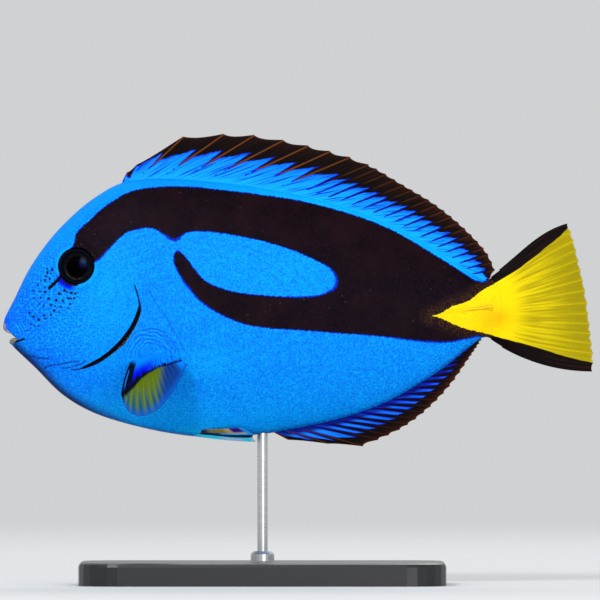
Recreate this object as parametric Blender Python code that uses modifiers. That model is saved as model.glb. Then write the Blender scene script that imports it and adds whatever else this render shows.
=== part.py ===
"""A life-size model of a regal blue tang, swimming, on a plain display stand.

The fish faces -X and its left side faces -Y. Its body is a height field: every point of the side
view, between the back's line and the belly's line, has one half-thickness. Lengths in the tables
are millimetres from the tip of the snout: x towards the tail, z upwards.
"""

import math

import bmesh
import bpy
import numpy as np
from mathutils import Vector

MM = 0.001
GAP = 0.3                     # what neighbouring pieces keep between them
SNOUT_FROM_ROD = 79.0         # the rod stands this far behind the snout's tip, at the middle of the base
SNOUT_HEIGHT = 80.0           # of the snout's tip above the table

# The side view: the lines of back and belly from the snout to the root of the tail fin.
BACK_LINE = [
    (0.0, 0.0), (0.3, 1.6), (2.8, 6.6), (7.9, 16.8), (14.1, 25.6), (20.2, 32.1), (26.3, 37.3),
    (35.1, 42.5), (42.5, 44.0), (50.7, 44.2), (63.0, 43.3), (76.7, 41.6), (90.5, 39.0), (102.7, 35.8),
    (114.9, 31.4), (127.1, 25.1), (136.3, 19.3), (143.0, 14.9), (147.0, 13.0), (149.4, 14.1),
]
BELLY_LINE = [
    (0.0, 0.0), (0.4, -1.8), (2.3, -6.6), (9.5, -13.6), (17.7, -21.7), (26.9, -27.2), (41.6, -31.8),
    (56.8, -34.5), (66.0, -34.8), (80.7, -33.7), (99.6, -30.1), (108.8, -27.4), (118.0, -23.7),
    (127.1, -18.5), (134.8, -13.4), (142.0, -7.6), (147.0, -4.3), (149.4, -5.0),
]
# The gill cover's free edge, from the nape round the cheek to the throat.
GILL_EDGE = [
    (35.1, 42.5), (36.9, 31.5), (38.6, 20.5), (39.9, 12.5), (41.4, 7.2), (41.7, 4.0), (40.3, 0.0),
    (37.6, -4.2), (33.6, -8.2), (28.6, -11.3), (22.6, -13.8), (17.6, -16.2), (14.1, -18.4),
]
STALK_CUT = [(133.6, 21.1), (135.4, 12.0), (135.8, 4.0), (134.9, -5.0), (133.6, -14.2)]
TAIL_ROOT = [(149.4, 14.1), (151.6, 10.6), (152.5, 4.6), (151.6, -1.3), (149.4, -5.0)]

# Half the body's width at each distance behind the snout.
HALF_WIDTHS = [
    (0.0, 0.0), (0.5, 1.5), (2.0, 2.9), (5.0, 4.3), (10.0, 6.2), (16.0, 8.0), (22.0, 9.4),
    (30.0, 10.9), (40.0, 12.0), (52.0, 12.5), (70.0, 12.1), (90.0, 10.7), (110.0, 8.2), (125.0, 6.0),
    (138.0, 4.3), (147.0, 3.3), (153.0, 2.4),
]
KEEL_SHARPNESS = 0.58         # 0.5 makes the section an ellipse, more makes a sharper back and belly
EDGE_LEVEL = 0.995            # 1 is the outline and 0 mid-depth: the last level with some thickness

# How finely the body is divided: from back to belly, and along each of its pieces.
BODY_ROWS = 21
HEAD_COLUMNS, TORSO_COLUMNS, STALK_COLUMNS = 20, 26, 7

# Soft swellings of the flank: centre x, z, radius along x and z, and height.
CHEEK = (31.0, -1.0, 9.0, 11.0, 0.7)
FIN_MUSCLE = (45.5, -7.5, 5.5, 5.0, 0.9)
EYE_RIM = (22.2, 17.4, 7.6, 7.6, 0.7)
SWELLINGS = (CHEEK, FIN_MUSCLE, EYE_RIM)

EYE_CENTRE = (22.2, 17.4)
EYE_RADIUS = 5.4
EYE_HALF_DEPTH = 3.0
EYE_PROUD = 1.3               # how far the cornea stands out of the head
# The opening between the jaws in the side view, from its corner along the upper jaw and back.
GAPE = [
    (6.4, -5.0), (3.5, -4.6), (2.1, -3.4), (0.6, -2.7), (-1.5, -2.3), (-1.5, -5.0), (1.8, -5.1), (2.7, -4.8),
    (3.7, -5.1),
]
# Each lip: its middle at the front, where it sinks into the cheek, and its radius.
UPPER_LIP = ((0.6, -1.9), (3.6, -3.9), 0.8)
LOWER_LIP = ((2.75, -5.5), (5.0, -5.6), 1.0)
NOSTRILS = [(14.8, 16.3, 0.5), (13.3, 15.2, 0.45)]

# A fin's rays, as knots: number of the ray, its root's x, then its tip's x and z.
DORSAL_SPINES, DORSAL_SOFT = 9, 19
DORSAL_KNOTS = [
    (0, 35.8, 37.6, 46.1), (1, 37.4, 40.5, 48.4), (2, 39.4, 54.7, 57.0), (3, 46.5, 67.1, 57.8),
    (4, 53.2, 76.4, 57.5), (5, 59.9, 85.3, 56.0), (6, 66.9, 92.9, 54.3), (7, 74.3, 99.6, 52.6),
    (8, 80.4, 105.7, 50.8), (9, 87.6, 111.4, 48.5), (13, 102.7, 122.2, 42.2), (17, 116.4, 132.2, 36.1),
    (21, 127.6, 140.9, 28.9), (25, 137.2, 148.0, 21.0), (27, 141.6, 150.1, 16.2),
]
ANAL_SPINES, ANAL_SOFT = 3, 18
ANAL_KNOTS = [
    (0, 81.6, 86.9, -35.7), (1, 84.0, 99.0, -36.9), (2, 87.6, 109.7, -37.7), (3, 91.4, 114.4, -35.7),
    (5, 98.8, 121.0, -32.6), (8, 110.5, 128.4, -27.4), (12, 123.2, 136.3, -19.3), (16, 134.2, 142.2, -10.9),
    (20, 142.6, 145.4, -6.2),
]
TAIL_RAYS = 16
TAIL_TIPS = [
    (172.1, 30.4), (173.5, 27.6), (175.0, 21.8), (177.4, 11.3), (178.7, 2.8), (179.6, -5.8), (180.2, -11.4),
    (179.7, -14.8),
]
TAIL_BOW = (1.6, 2.5)         # how far the uppermost and the lowest ray curve outwards
PECTORAL_RAYS = 16
PECTORAL_ROOT = [(39.4, -11.4), (44.0, -10.2), (48.6, -9.6), (52.4, -10.2)]
# Tips of the pectoral rays: x, z, and how far they reach from the mid-plane.
PECTORAL_TIPS = [
    (36.1, -21.6, 28.0), (37.7, -26.2, 31.5), (41.0, -28.4, 33.0), (46.0, -27.2, 32.0), (50.3, -23.2, 28.0),
    (53.6, -18.2, 22.5), (56.2, -12.8, 16.0),
]
PELVIC_RAYS = 4
PELVIC_ROOT = [(56.2, -33.9), (58.0, -32.4)]
PELVIC_TIPS = [(76.0, -36.0), (75.1, -34.8), (73.7, -33.3), (71.0, -31.9)]
PELVIC_OUT = (2.6, 5.4)       # of the lower and of the upper edge from the mid-plane
ROOT_SUNK = 1.6               # how deep a paired fin starts in the flank, before it is trimmed to it
PECTORAL_BOW = (-1.2, -1.6, 0.9)
PELVIC_BOW = (0.0, -1.1, -0.5)

# A fin's thickness: half a ray's at its root and at its tip, half the membrane's, and the share of the
# rays' length over which the thicker root fades out.
MEDIAN_BLADE = {"ray_half": (0.62, 0.32), "membrane_half": 0.27, "sheath": 0.3}
TAIL_BLADE = {"ray_half": (0.7, 0.36), "membrane_half": 0.27, "sheath": 0.55}
PAIRED_BLADE = {"ray_half": (0.5, 0.3), "membrane_half": 0.26, "sheath": 0.35}
MEDIAN_ROOT_HALF = 0.75
PAIRED_ROOT_HALF = 0.8
RIDGE_FLANK = 0.28            # the share of the gap between two rays where a ridge ends

TAIL_SPINE = (144.4, 4.8, 4.6, 0.9, 1.0)   # centre x, z, half-length, half-height, half-depth

BASE_LENGTH, BASE_DEPTH, BASE_THICKNESS = 112.0, 66.0, 7.0
BASE_CORNER, BASE_BEVEL = 12.0, 1.2
ROD_RADIUS = 1.6
COLLAR_RADIUS, COLLAR_HEIGHT, COLLAR_BEVEL = 3.6, 3.0, 0.9

MATERIALS = {
    "blue_skin": ((0.006, 0.27, 0.95, 1.0), 0.45, 0.0),
    "black_skin": ((0.012, 0.004, 0.007, 1.0), 0.5, 0.0),
    "yellow_fin": ((0.9, 0.62, 0.0, 1.0), 0.5, 0.0),
    "blue_fin": ((0.005, 0.22, 0.9, 1.0), 0.5, 0.0),
    "eye": ((0.004, 0.004, 0.006, 1.0), 0.06, 0.0),
    "stand": ((0.02, 0.02, 0.022, 1.0), 0.35, 0.0),
    "rod": ((0.55, 0.55, 0.56, 1.0), 0.3, 1.0),
}


def smooth_line(points, count=0, samples=60):
    """Points along a smooth curve through the given ones: count evenly spaced, or all of the samples."""
    given = np.array(points, float)
    steps = np.linalg.norm(np.diff(given, axis=0), axis=1) ** 0.5
    knots = np.concatenate([[0.0], np.cumsum(steps)])
    rates = np.diff(given, axis=0) / steps[:, None]
    slopes = np.vstack([rates[:1], rates, rates[-1:]])
    weights = np.concatenate([[1.0], steps, [1.0]])[:, None]
    slopes = (slopes[1:] * weights[:-1] + slopes[:-1] * weights[1:]) / (weights[:-1] + weights[1:])
    slopes[0], slopes[-1] = rates[0], rates[-1]
    line = []
    for i, step in enumerate(steps):
        t = np.linspace(0, 1, samples, endpoint=False)[:, None]
        line.append(
            (1 + 2 * t) * (1 - t) ** 2 * given[i] + t * (1 - t) ** 2 * step * slopes[i]
            + t * t * (3 - 2 * t) * given[i + 1] - t * t * (1 - t) * step * slopes[i + 1]
        )
    line = np.vstack(line + [given[-1:]])
    return evenly(line, np.linspace(0, 1, count)) if count else line


def evenly(line, shares):
    """The points at these shares of a line's length."""
    run = np.concatenate([[0.0], np.cumsum(np.linalg.norm(np.diff(line, axis=0), axis=1))])
    at = np.array(shares) * run[-1]
    return np.stack([np.interp(at, run, line[:, axis]) for axis in range(line.shape[1])], axis=1)


BACK = smooth_line(BACK_LINE)
BELLY = smooth_line(BELLY_LINE)
WIDTH = smooth_line(HALF_WIDTHS)


def half_thickness(x, z):
    """Half the body's thickness at a point of the side view."""
    top = np.interp(x, BACK[:, 0], BACK[:, 1])
    bottom = np.interp(x, BELLY[:, 0], BELLY[:, 1])
    half = np.maximum((top - bottom) / 2, 1e-6)
    level = np.clip((z - (top + bottom) / 2) / half, -EDGE_LEVEL, EDGE_LEVEL)
    section = (1 - level ** 2) ** KEEL_SHARPNESS
    swelling = sum(
        height * np.exp(-((x - cx) / rx) ** 2 - ((z - cz) / rz) ** 2) for cx, cz, rx, rz, height in SWELLINGS
    )
    return section * (np.interp(x, WIDTH[:, 0], WIDTH[:, 1]) + swelling)


def part_of(line, first, last):
    """The stretch of a line between the points nearest to first and last."""
    start, end = (int(np.argmin(np.linalg.norm(line - np.array(p), axis=1))) for p in (first, last))
    return line[start:end + 1]


def offset_curve(points, distance):
    """An open curve of the side view moved to its left, seen along its run, by distance."""
    along = np.gradient(points, axis=0)
    along /= np.linalg.norm(along, axis=1)[:, None]
    return points + distance * np.stack([-along[:, 1], along[:, 0]], axis=1)


def patch(back, belly, front, rear, shares):
    """A grid of side-view points between four border curves (a Coons patch), indexed along and down."""
    s = np.linspace(0, 1, len(back))[:, None, None]
    t = shares[None, :, None]
    upper_corners = (1 - t) * ((1 - s) * back[0] + s * back[-1])
    lower_corners = t * ((1 - s) * belly[0] + s * belly[-1])
    across = (1 - t) * back[:, None] + t * belly[:, None]
    return across + (1 - s) * front[None] + s * rear[None] - upper_corners - lower_corners


def rounded(count):
    """Shares from 0 to 1 that crowd together at both ends, where the flank turns into back and belly."""
    return (1 - np.cos(np.linspace(0, math.pi, count))) / 2


def body_patch(front, rear, columns, rows):
    """The patch of the body between two curves that run from the back to the belly."""
    shares = np.linspace(0, 1, columns)
    back = evenly(part_of(BACK, front[0], rear[0]), shares)
    belly = evenly(part_of(BELLY, front[-1], rear[-1]), shares)
    front, rear = evenly(front, rounded(rows)), evenly(rear, rounded(rows))
    front[0], front[-1], rear[0], rear[-1] = back[0], belly[0], back[-1], belly[-1]
    return patch(back, belly, front, rear, rounded(rows))


def world(x, y, z):
    """A point of the model's frame, in metres, from millimetres behind, beside and above the snout."""
    return Vector(((x - SNOUT_FROM_ROD) * MM, y * MM, (z + SNOUT_HEIGHT) * MM))


def material(name):
    """The named Principled material, made once."""
    if name in bpy.data.materials:
        return bpy.data.materials[name]
    colour, roughness, metallic = MATERIALS[name]
    made = bpy.data.materials.new(name)
    made.use_nodes = True
    shader = made.node_tree.nodes["Principled BSDF"]
    shader.inputs["Base Color"].default_value = colour
    shader.inputs["Roughness"].default_value = roughness
    shader.inputs["Metallic"].default_value = metallic
    return made


def add_object(name, mesh, finish, collection):
    """One named object that holds the mesh."""
    made = bpy.data.objects.new(name, mesh)
    made.data.materials.clear()
    made.data.materials.append(material(finish))
    collection.objects.link(made)
    return made


def closed_mesh(name, points, faces):
    """A mesh of these points and faces with coincident points merged and every face pointing outwards."""
    shape = bmesh.new()
    corners = [shape.verts.new(p) for p in points]
    for face in faces:
        if len(set(face)) > 2:
            shape.faces.new([corners[i] for i in dict.fromkeys(face)])
    bmesh.ops.delete(shape, geom=[v for v in shape.verts if not v.link_faces], context="VERTS")
    bmesh.ops.remove_doubles(shape, verts=shape.verts, dist=1e-6)
    bmesh.ops.recalc_face_normals(shape, faces=shape.faces)
    mesh = bpy.data.meshes.new(name)
    shape.to_mesh(mesh)
    shape.free()
    return mesh


def flesh(name, grid):
    """The solid whose side view is the grid, both flanks of it, closed by ruled faces at its two ends."""
    columns, rows = grid.shape[:2]
    half = half_thickness(grid[..., 0], grid[..., 1])
    half[:, 0] = half[:, -1] = 0
    flank = np.stack([grid[..., 0], half, grid[..., 1]], axis=-1).reshape(-1, 3)
    points = [world(x, side * y, z) for side in (-1, 1) for x, y, z in flank]

    def index(side, column, row):
        if row in (0, rows - 1):
            side = 0
        return side * columns * rows + column * rows + row

    faces = []
    for column in range(columns - 1):
        for row in range(rows - 1):
            for side in (0, 1):
                a, b = index(side, column, row), index(side, column + 1, row)
                c, d = index(side, column + 1, row + 1), index(side, column, row + 1)
                faces += [(a, b, c), (a, c, d)]
    for column in (0, columns - 1):
        for row in range(rows - 1):
            faces.append((index(0, column, row), index(0, column, row + 1),
                          index(1, column, row + 1), index(1, column, row)))
    return closed_mesh(name, points, faces)


def modifier_result(target, kind, **settings):
    """Applies one modifier to an object's mesh."""
    modifier = target.modifiers.new(kind, kind)
    for key, value in settings.items():
        setattr(modifier, key, value)
    graph = bpy.context.evaluated_depsgraph_get()
    target.data = bpy.data.meshes.new_from_object(target.evaluated_get(graph))
    target.modifiers.remove(modifier)


def keep_largest(target):
    """Drops every closed surface of the mesh but the one with the largest box."""
    shape = bmesh.new()
    shape.from_mesh(target.data)
    left, groups = set(shape.verts), []
    while left:
        group, edge = set(), [next(iter(left))]
        while edge:
            vert = edge.pop()
            if vert not in group:
                group.add(vert)
                edge += [e.other_vert(vert) for e in vert.link_edges]
        left -= group
        groups.append(group)

    def size(group):
        co = np.array([v.co for v in group])
        return float(np.linalg.norm(co.max(0) - co.min(0)))

    groups.sort(key=size)
    bmesh.ops.delete(shape, geom=[v for group in groups[:-1] for v in group], context="VERTS")
    shape.to_mesh(target.data)
    shape.free()


def cut(target, cutter):
    """Takes the cutter's volume from the target."""
    modifier_result(target, "BOOLEAN", operation="DIFFERENCE", solver="EXACT", object=cutter)
    keep_largest(target)


def join(target, *others):
    """One Boolean union of the target with closed pieces, which are then removed."""
    pieces = bpy.data.collections.new(target.name + "_pieces")
    for other in others:
        for holder in other.users_collection:
            holder.objects.unlink(other)
        pieces.objects.link(other)
    bpy.context.scene.collection.children.link(pieces)
    modifier_result(target, "BOOLEAN", operation="UNION", solver="EXACT", operand_type="COLLECTION",
                    collection=pieces)
    for other in others:
        bpy.data.objects.remove(other)
    bpy.data.collections.remove(pieces)
    keep_largest(target)


def inflated(source, name, cutters):
    """A cutter with the source's shape, GAP larger all round."""
    copy = add_object(name, source.data.copy(), "blue_skin", cutters)
    normals = [v.normal.copy() for v in copy.data.vertices]
    for vert, normal in zip(copy.data.vertices, normals):
        vert.co += normal * GAP * MM
    return copy


def ellipsoid(name, centre, radii, finish, collection, segments=24, rings=12):
    """An ellipsoid with its poles along Y."""
    bpy.ops.mesh.primitive_uv_sphere_add(segments=segments, ring_count=rings, radius=1.0)
    ball = bpy.context.object
    for vert in ball.data.vertices:
        x, y, z = vert.co
        vert.co = Vector((x * radii[0], z * radii[1], -y * radii[2])) * MM + world(*centre)
    mesh = ball.data
    bpy.data.objects.remove(ball)
    return add_object(name, mesh, finish, collection)


def tube(name, path, radii, finish, collection):
    """A round tube along a path of world points, with a radius at each, as a closed mesh."""
    curve = bpy.data.curves.new(name, "CURVE")
    curve.dimensions = "3D"
    curve.bevel_depth = MM
    curve.bevel_resolution = 2
    curve.use_fill_caps = True
    spline = curve.splines.new("POLY")
    spline.points.add(len(path) - 1)
    for point, co, radius in zip(spline.points, path, radii):
        point.co = (*co, 1.0)
        point.radius = radius
    holder = bpy.data.objects.new(name + "_curve", curve)
    collection.objects.link(holder)
    graph = bpy.context.evaluated_depsgraph_get()
    mesh = bpy.data.meshes.new_from_object(holder.evaluated_get(graph))
    bpy.data.objects.remove(holder)
    shape = bmesh.new()
    shape.from_mesh(mesh)
    bmesh.ops.remove_doubles(shape, verts=shape.verts, dist=1e-6)
    shape.to_mesh(mesh)
    shape.free()
    return add_object(name, mesh, finish, collection)


def rays_from_knots(knots, root_line, count, side):
    """Roots and tips of a median fin's rays, from its knots.

    Roots lie GAP outside the body's line. The side is 1 above the body and -1 below it.
    """
    table = np.array(knots, float)
    numbers = np.arange(count)
    root_x = np.interp(numbers, table[:, 0], table[:, 1])
    tips = smooth_line(table[:, [2, 3]])
    at = [float(np.argmin(np.linalg.norm(tips - row[2:4], axis=1))) for row in table]
    tips = tips[np.round(np.interp(numbers, table[:, 0], at)).astype(int)]
    root_z = np.interp(root_x, root_line[:, 0], root_line[:, 1])
    slope = np.interp(root_x, root_line[:, 0], np.gradient(root_line[:, 1], root_line[:, 0]))
    normal = np.stack([-slope, np.ones(count)], axis=1)
    normal /= np.linalg.norm(normal, axis=1)[:, None]
    return np.stack([root_x, root_z], axis=1) + normal * GAP * side, tips


def fin_columns(roots, tips, scallop):
    """Adds membrane columns between the rays: roots, tips, and 1 for a ray or 0 for membrane."""
    new_roots, new_tips, is_ray = [], [], []
    for i in range(len(roots)):
        for share in (0.0, RIDGE_FLANK, 1 - RIDGE_FLANK) if i < len(roots) - 1 else (0.0,):
            j = min(i + 1, len(roots) - 1)
            root = roots[i] * (1 - share) + roots[j] * share
            tip = tips[i] * (1 - share) + tips[j] * share
            new_roots.append(root)
            new_tips.append(tip + (root - tip) * scallop * 4 * share * (1 - share))
            is_ray.append(1.0 if share == 0 else 0.0)
    return np.array(new_roots), np.array(new_tips), np.array(is_ray)


def fin_mesh(name, roots, tips, is_ray, bows, rows, root_half, ray_half, membrane_half, sheath):
    """A closed fin: each column runs from its root to its tip, thick at a ray and thin at the membrane.

    root_half is the half-thickness of each column's root, which fades out over the sheath.
    """
    s = np.linspace(0, 1, rows)[None, :, None]
    middle = roots[:, None] * (1 - s) + tips[:, None] * s + bows[:, None] * 4 * s * (1 - s)
    across = np.gradient(middle, axis=0)
    along = np.gradient(middle, axis=1)
    normal = np.cross(across, along)
    normal /= np.maximum(np.linalg.norm(normal, axis=2), 1e-9)[..., None]
    s = s[..., 0]
    ray = ray_half[0] * (1 - s) + ray_half[1] * s
    blade = np.where(is_ray[:, None] > 0.5, ray, membrane_half)
    fade = np.clip(1 - s / sheath, 0, 1) ** 1.5
    half = np.maximum(blade, root_half[:, None] * fade)
    half = half * (1 - fade) + root_half[:, None] * fade
    columns = len(roots)
    points = [world(*p) for p in (middle + normal * half[..., None]).reshape(-1, 3)]
    points += [world(*p) for p in (middle - normal * half[..., None]).reshape(-1, 3)]
    other = columns * rows
    faces = []
    for i in range(columns - 1):
        for j in range(rows - 1):
            a, b, c, d = i * rows + j, (i + 1) * rows + j, (i + 1) * rows + j + 1, i * rows + j + 1
            for shift in (0, other):
                faces += [(a + shift, b + shift, c + shift), (a + shift, c + shift, d + shift)]
    rim = [i * rows for i in range(columns)] + [(columns - 1) * rows + j for j in range(1, rows)]
    rim += [i * rows + rows - 1 for i in range(columns - 2, -1, -1)] + list(range(rows - 2, 0, -1))
    for a, b in zip(rim, rim[1:] + rim[:1]):
        faces.append((a, b, b + other, a + other))
    return closed_mesh(name, points, faces)


def in_side_plane(points):
    """Side-view points as points of the mid-plane."""
    return np.stack([points[:, 0], np.zeros(len(points)), points[:, 1]], axis=1)


def median_fin(name, knots, line, count, side, rows, finish, collection, end):
    """A fin of the mid-plane with its root along the body's line, closed behind by a short last column."""
    roots, tips = rays_from_knots(knots, line, count, side)
    roots, tips = np.vstack([roots, end[0]]), np.vstack([tips, end[1]])
    roots, tips, is_ray = fin_columns(roots, tips, scallop=0.10)
    is_ray[-1] = 0.0
    bows = np.zeros((len(roots), 3))
    mesh = fin_mesh(name, in_side_plane(roots), in_side_plane(tips), is_ray, bows, rows,
                    np.full(len(roots), MEDIAN_ROOT_HALF), **MEDIAN_BLADE)
    return add_object(name, mesh, finish, collection)


def tail_fin(collection, stalk_end):
    """The tail fin. Its root is as thick as the end of the stalk, and its outer rays curve outwards."""
    root_line = offset_curve(stalk_end, GAP)
    shares = np.linspace(0.0, 1.0, TAIL_RAYS)
    roots = evenly(root_line, shares)
    tips = evenly(smooth_line(TAIL_TIPS), 0.5 - 0.5 * np.sign(0.5 - shares) * np.abs(2 * shares - 1) ** 0.92)
    roots, tips, is_ray = fin_columns(roots, tips, scallop=0.03)
    turn = np.linspace(1, -1, len(roots))
    along = tips - roots
    outward = np.stack([-along[:, 1], along[:, 0]], axis=1) / np.linalg.norm(along, axis=1)[:, None]
    most = np.where(turn > 0, *TAIL_BOW)
    bows = in_side_plane(outward * (most * np.sign(turn) * np.abs(turn) ** 3)[:, None])
    half = np.maximum(half_thickness(roots[:, 0] - GAP, roots[:, 1]), 0.45)
    mesh = fin_mesh("caudal_fin", in_side_plane(roots), in_side_plane(tips), is_ray, bows, 9, half,
                    **TAIL_BLADE)
    return add_object("caudal_fin", mesh, "yellow_fin", collection)


def pectoral_fin(side, collection, body_cutter):
    """A pectoral fin held out and down, its root trimmed to the flank."""
    roots = smooth_line(PECTORAL_ROOT, PECTORAL_RAYS)
    depth = half_thickness(roots[:, 0], roots[:, 1]) - ROOT_SUNK
    roots = np.stack([roots[:, 0], -depth, roots[:, 1]], axis=1)
    tips = smooth_line(PECTORAL_TIPS, PECTORAL_RAYS)
    tips = np.stack([tips[:, 0], -tips[:, 2], tips[:, 1]], axis=1)
    roots, tips, is_ray = fin_columns(roots, tips, scallop=0.05)
    bows = np.tile(PECTORAL_BOW, (len(roots), 1))
    mesh = fin_mesh("fin", roots, tips, is_ray, bows, 7, np.full(len(roots), PAIRED_ROOT_HALF),
                    **PAIRED_BLADE)
    return mirrored(f"pectoral_fin_{'left' if side < 0 else 'right'}", mesh, side, "yellow_fin", collection,
                    body_cutter)


def pelvic_fin(side, collection, body_cutter):
    """A pelvic fin folded back along the belly, its root trimmed to the flank."""
    shares = np.linspace(0, 1, PELVIC_RAYS)
    roots, tips = evenly(np.array(PELVIC_ROOT), shares), np.array(PELVIC_TIPS)
    out = -np.linspace(*PELVIC_OUT, PELVIC_RAYS)
    depth = half_thickness(roots[:, 0], roots[:, 1]) - ROOT_SUNK
    roots = np.stack([roots[:, 0], -depth, roots[:, 1]], axis=1)
    tips = np.stack([tips[:, 0], out, tips[:, 1]], axis=1)
    roots, tips, is_ray = fin_columns(roots, tips, scallop=0.06)
    bows = np.tile(PELVIC_BOW, (len(roots), 1))
    mesh = fin_mesh("fin", roots, tips, is_ray, bows, 8, np.full(len(roots), PAIRED_ROOT_HALF),
                    **PAIRED_BLADE)
    return mirrored(f"pelvic_fin_{'left' if side < 0 else 'right'}", mesh, side, "blue_fin", collection,
                    body_cutter)


def mirrored(name, mesh, side, finish, collection, body_cutter):
    """The object of a left-hand mesh, or its mirror image, trimmed to the body."""
    mesh = mesh.copy()
    if side > 0:
        for vert in mesh.vertices:
            vert.co.y = -vert.co.y
        mesh.flip_normals()
    made = add_object(name, mesh, finish, collection)
    cut(made, body_cutter)
    return made


def lip(name, front, corner, radius, collection, count=15):
    """A lip: half an ellipse round the front of the jaw, tapered and sunk into the cheek at both ends."""
    turn = np.linspace(-math.pi / 2, math.pi / 2, count)
    half = float(half_thickness(*corner)) - 0.6 * radius
    back = 1 - np.cos(turn)
    x = front[0] + (corner[0] - front[0]) * back
    z = front[1] + (corner[1] - front[1]) * back
    path = [world(*p) for p in zip(x, half * np.sin(turn), z)]
    return tube(name, path, radius * (1 - 0.55 * back), "blue_skin", collection)


def gape(collection):
    """The cutter of the open mouth: its side view, right through the snout."""
    reach = 8.0
    shape = bmesh.new()
    face = shape.faces.new([shape.verts.new(world(x, -reach, z)) for x, z in GAPE])
    lifted = bmesh.ops.extrude_face_region(shape, geom=[face])["geom"]
    corners = [part for part in lifted if isinstance(part, bmesh.types.BMVert)]
    bmesh.ops.translate(shape, vec=(0, 2 * reach * MM, 0), verts=corners)
    bmesh.ops.recalc_face_normals(shape, faces=shape.faces)
    mesh = bpy.data.meshes.new("mouth")
    shape.to_mesh(mesh)
    shape.free()
    return add_object("mouth_cutter", mesh, "blue_skin", collection)


def head(collection, cutters, grid, eye_cutters):
    """The head, with lips round a slightly open mouth, sockets for the eyes and pits for the nostrils."""
    made = add_object("head", flesh("head", grid), "blue_skin", collection)
    join(made, lip("upper_lip", *UPPER_LIP, cutters), lip("lower_lip", *LOWER_LIP, cutters))
    cut(made, gape(cutters))
    for cutter in eye_cutters:
        cut(made, cutter)
    for side in (-1, 1):
        for x, z, radius in NOSTRILS:
            centre = (x, side * float(half_thickness(x, z)), z)
            cut(made, ellipsoid("nostril_cutter", centre, (radius,) * 3, "black_skin", cutters, 10, 6))
    return made


def eye(side, collection):
    """One eye, a flattened ball that stands a little out of its socket."""
    x, z = EYE_CENTRE
    depth = float(half_thickness(x, z)) + EYE_PROUD - EYE_HALF_DEPTH
    return ellipsoid(f"eye_{'left' if side < 0 else 'right'}", (x, side * depth, z),
                     (EYE_RADIUS, EYE_HALF_DEPTH, EYE_RADIUS), "eye", collection, 24, 11)


def tail_spine(side, collection, body_cutter):
    """The folded spine on one side of the tail stalk."""
    x, z, length, height, depth = TAIL_SPINE
    level = float(half_thickness(x, z))
    spine = ellipsoid(f"tail_spine_{'left' if side < 0 else 'right'}", (x, side * level, z),
                      (length, depth, height), "yellow_fin", collection, 16, 10)
    cut(spine, body_cutter)
    return spine


def stand_base(collection):
    """The flat base, with round corners and a rounded upper edge."""
    shape = bmesh.new()
    bmesh.ops.create_cube(shape, size=1.0)
    bmesh.ops.scale(shape, vec=Vector((BASE_LENGTH, BASE_DEPTH, BASE_THICKNESS)) * MM, verts=shape.verts)
    bmesh.ops.translate(shape, vec=(0, 0, BASE_THICKNESS / 2 * MM), verts=shape.verts)
    upright = [e for e in shape.edges if abs(e.verts[0].co.z - e.verts[1].co.z) > BASE_THICKNESS * MM / 2]
    bmesh.ops.bevel(shape, geom=upright, offset=BASE_CORNER * MM, segments=6, profile=0.5, affect="EDGES")
    top = [e for e in shape.edges if all(v.co.z > BASE_THICKNESS * MM / 2 for v in e.verts)]
    bmesh.ops.bevel(shape, geom=top, offset=BASE_BEVEL * MM, segments=2, profile=0.5, affect="EDGES")
    mesh = bpy.data.meshes.new("stand_base")
    shape.to_mesh(mesh)
    shape.free()
    return add_object("stand_base", mesh, "stand", collection)


def stand_rod(collection, body_cutter):
    """The rod and the collar at its foot, turned as one, and trimmed below to the belly."""
    foot = BASE_THICKNESS + GAP
    shoulder = foot + COLLAR_HEIGHT
    top = SNOUT_HEIGHT + float(np.interp(SNOUT_FROM_ROD, BELLY[:, 0], BELLY[:, 1])) + ROD_RADIUS
    profile = [
        (0, top), (ROD_RADIUS, top), (ROD_RADIUS, shoulder), (COLLAR_RADIUS - COLLAR_BEVEL, shoulder),
        (COLLAR_RADIUS, shoulder - COLLAR_BEVEL), (COLLAR_RADIUS, foot), (0, foot),
    ]
    mesh = bpy.data.meshes.new("stand_rod")
    edges = [(i, i + 1) for i in range(len(profile) - 1)]
    mesh.from_pydata([(r * MM, 0, h * MM) for r, h in profile], edges, [])
    rod = add_object("stand_rod", mesh, "rod", collection)
    modifier_result(rod, "SCREW", steps=24, render_steps=24, use_merge_vertices=True, merge_threshold=1e-6)
    cut(rod, body_cutter)
    return rod


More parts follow.
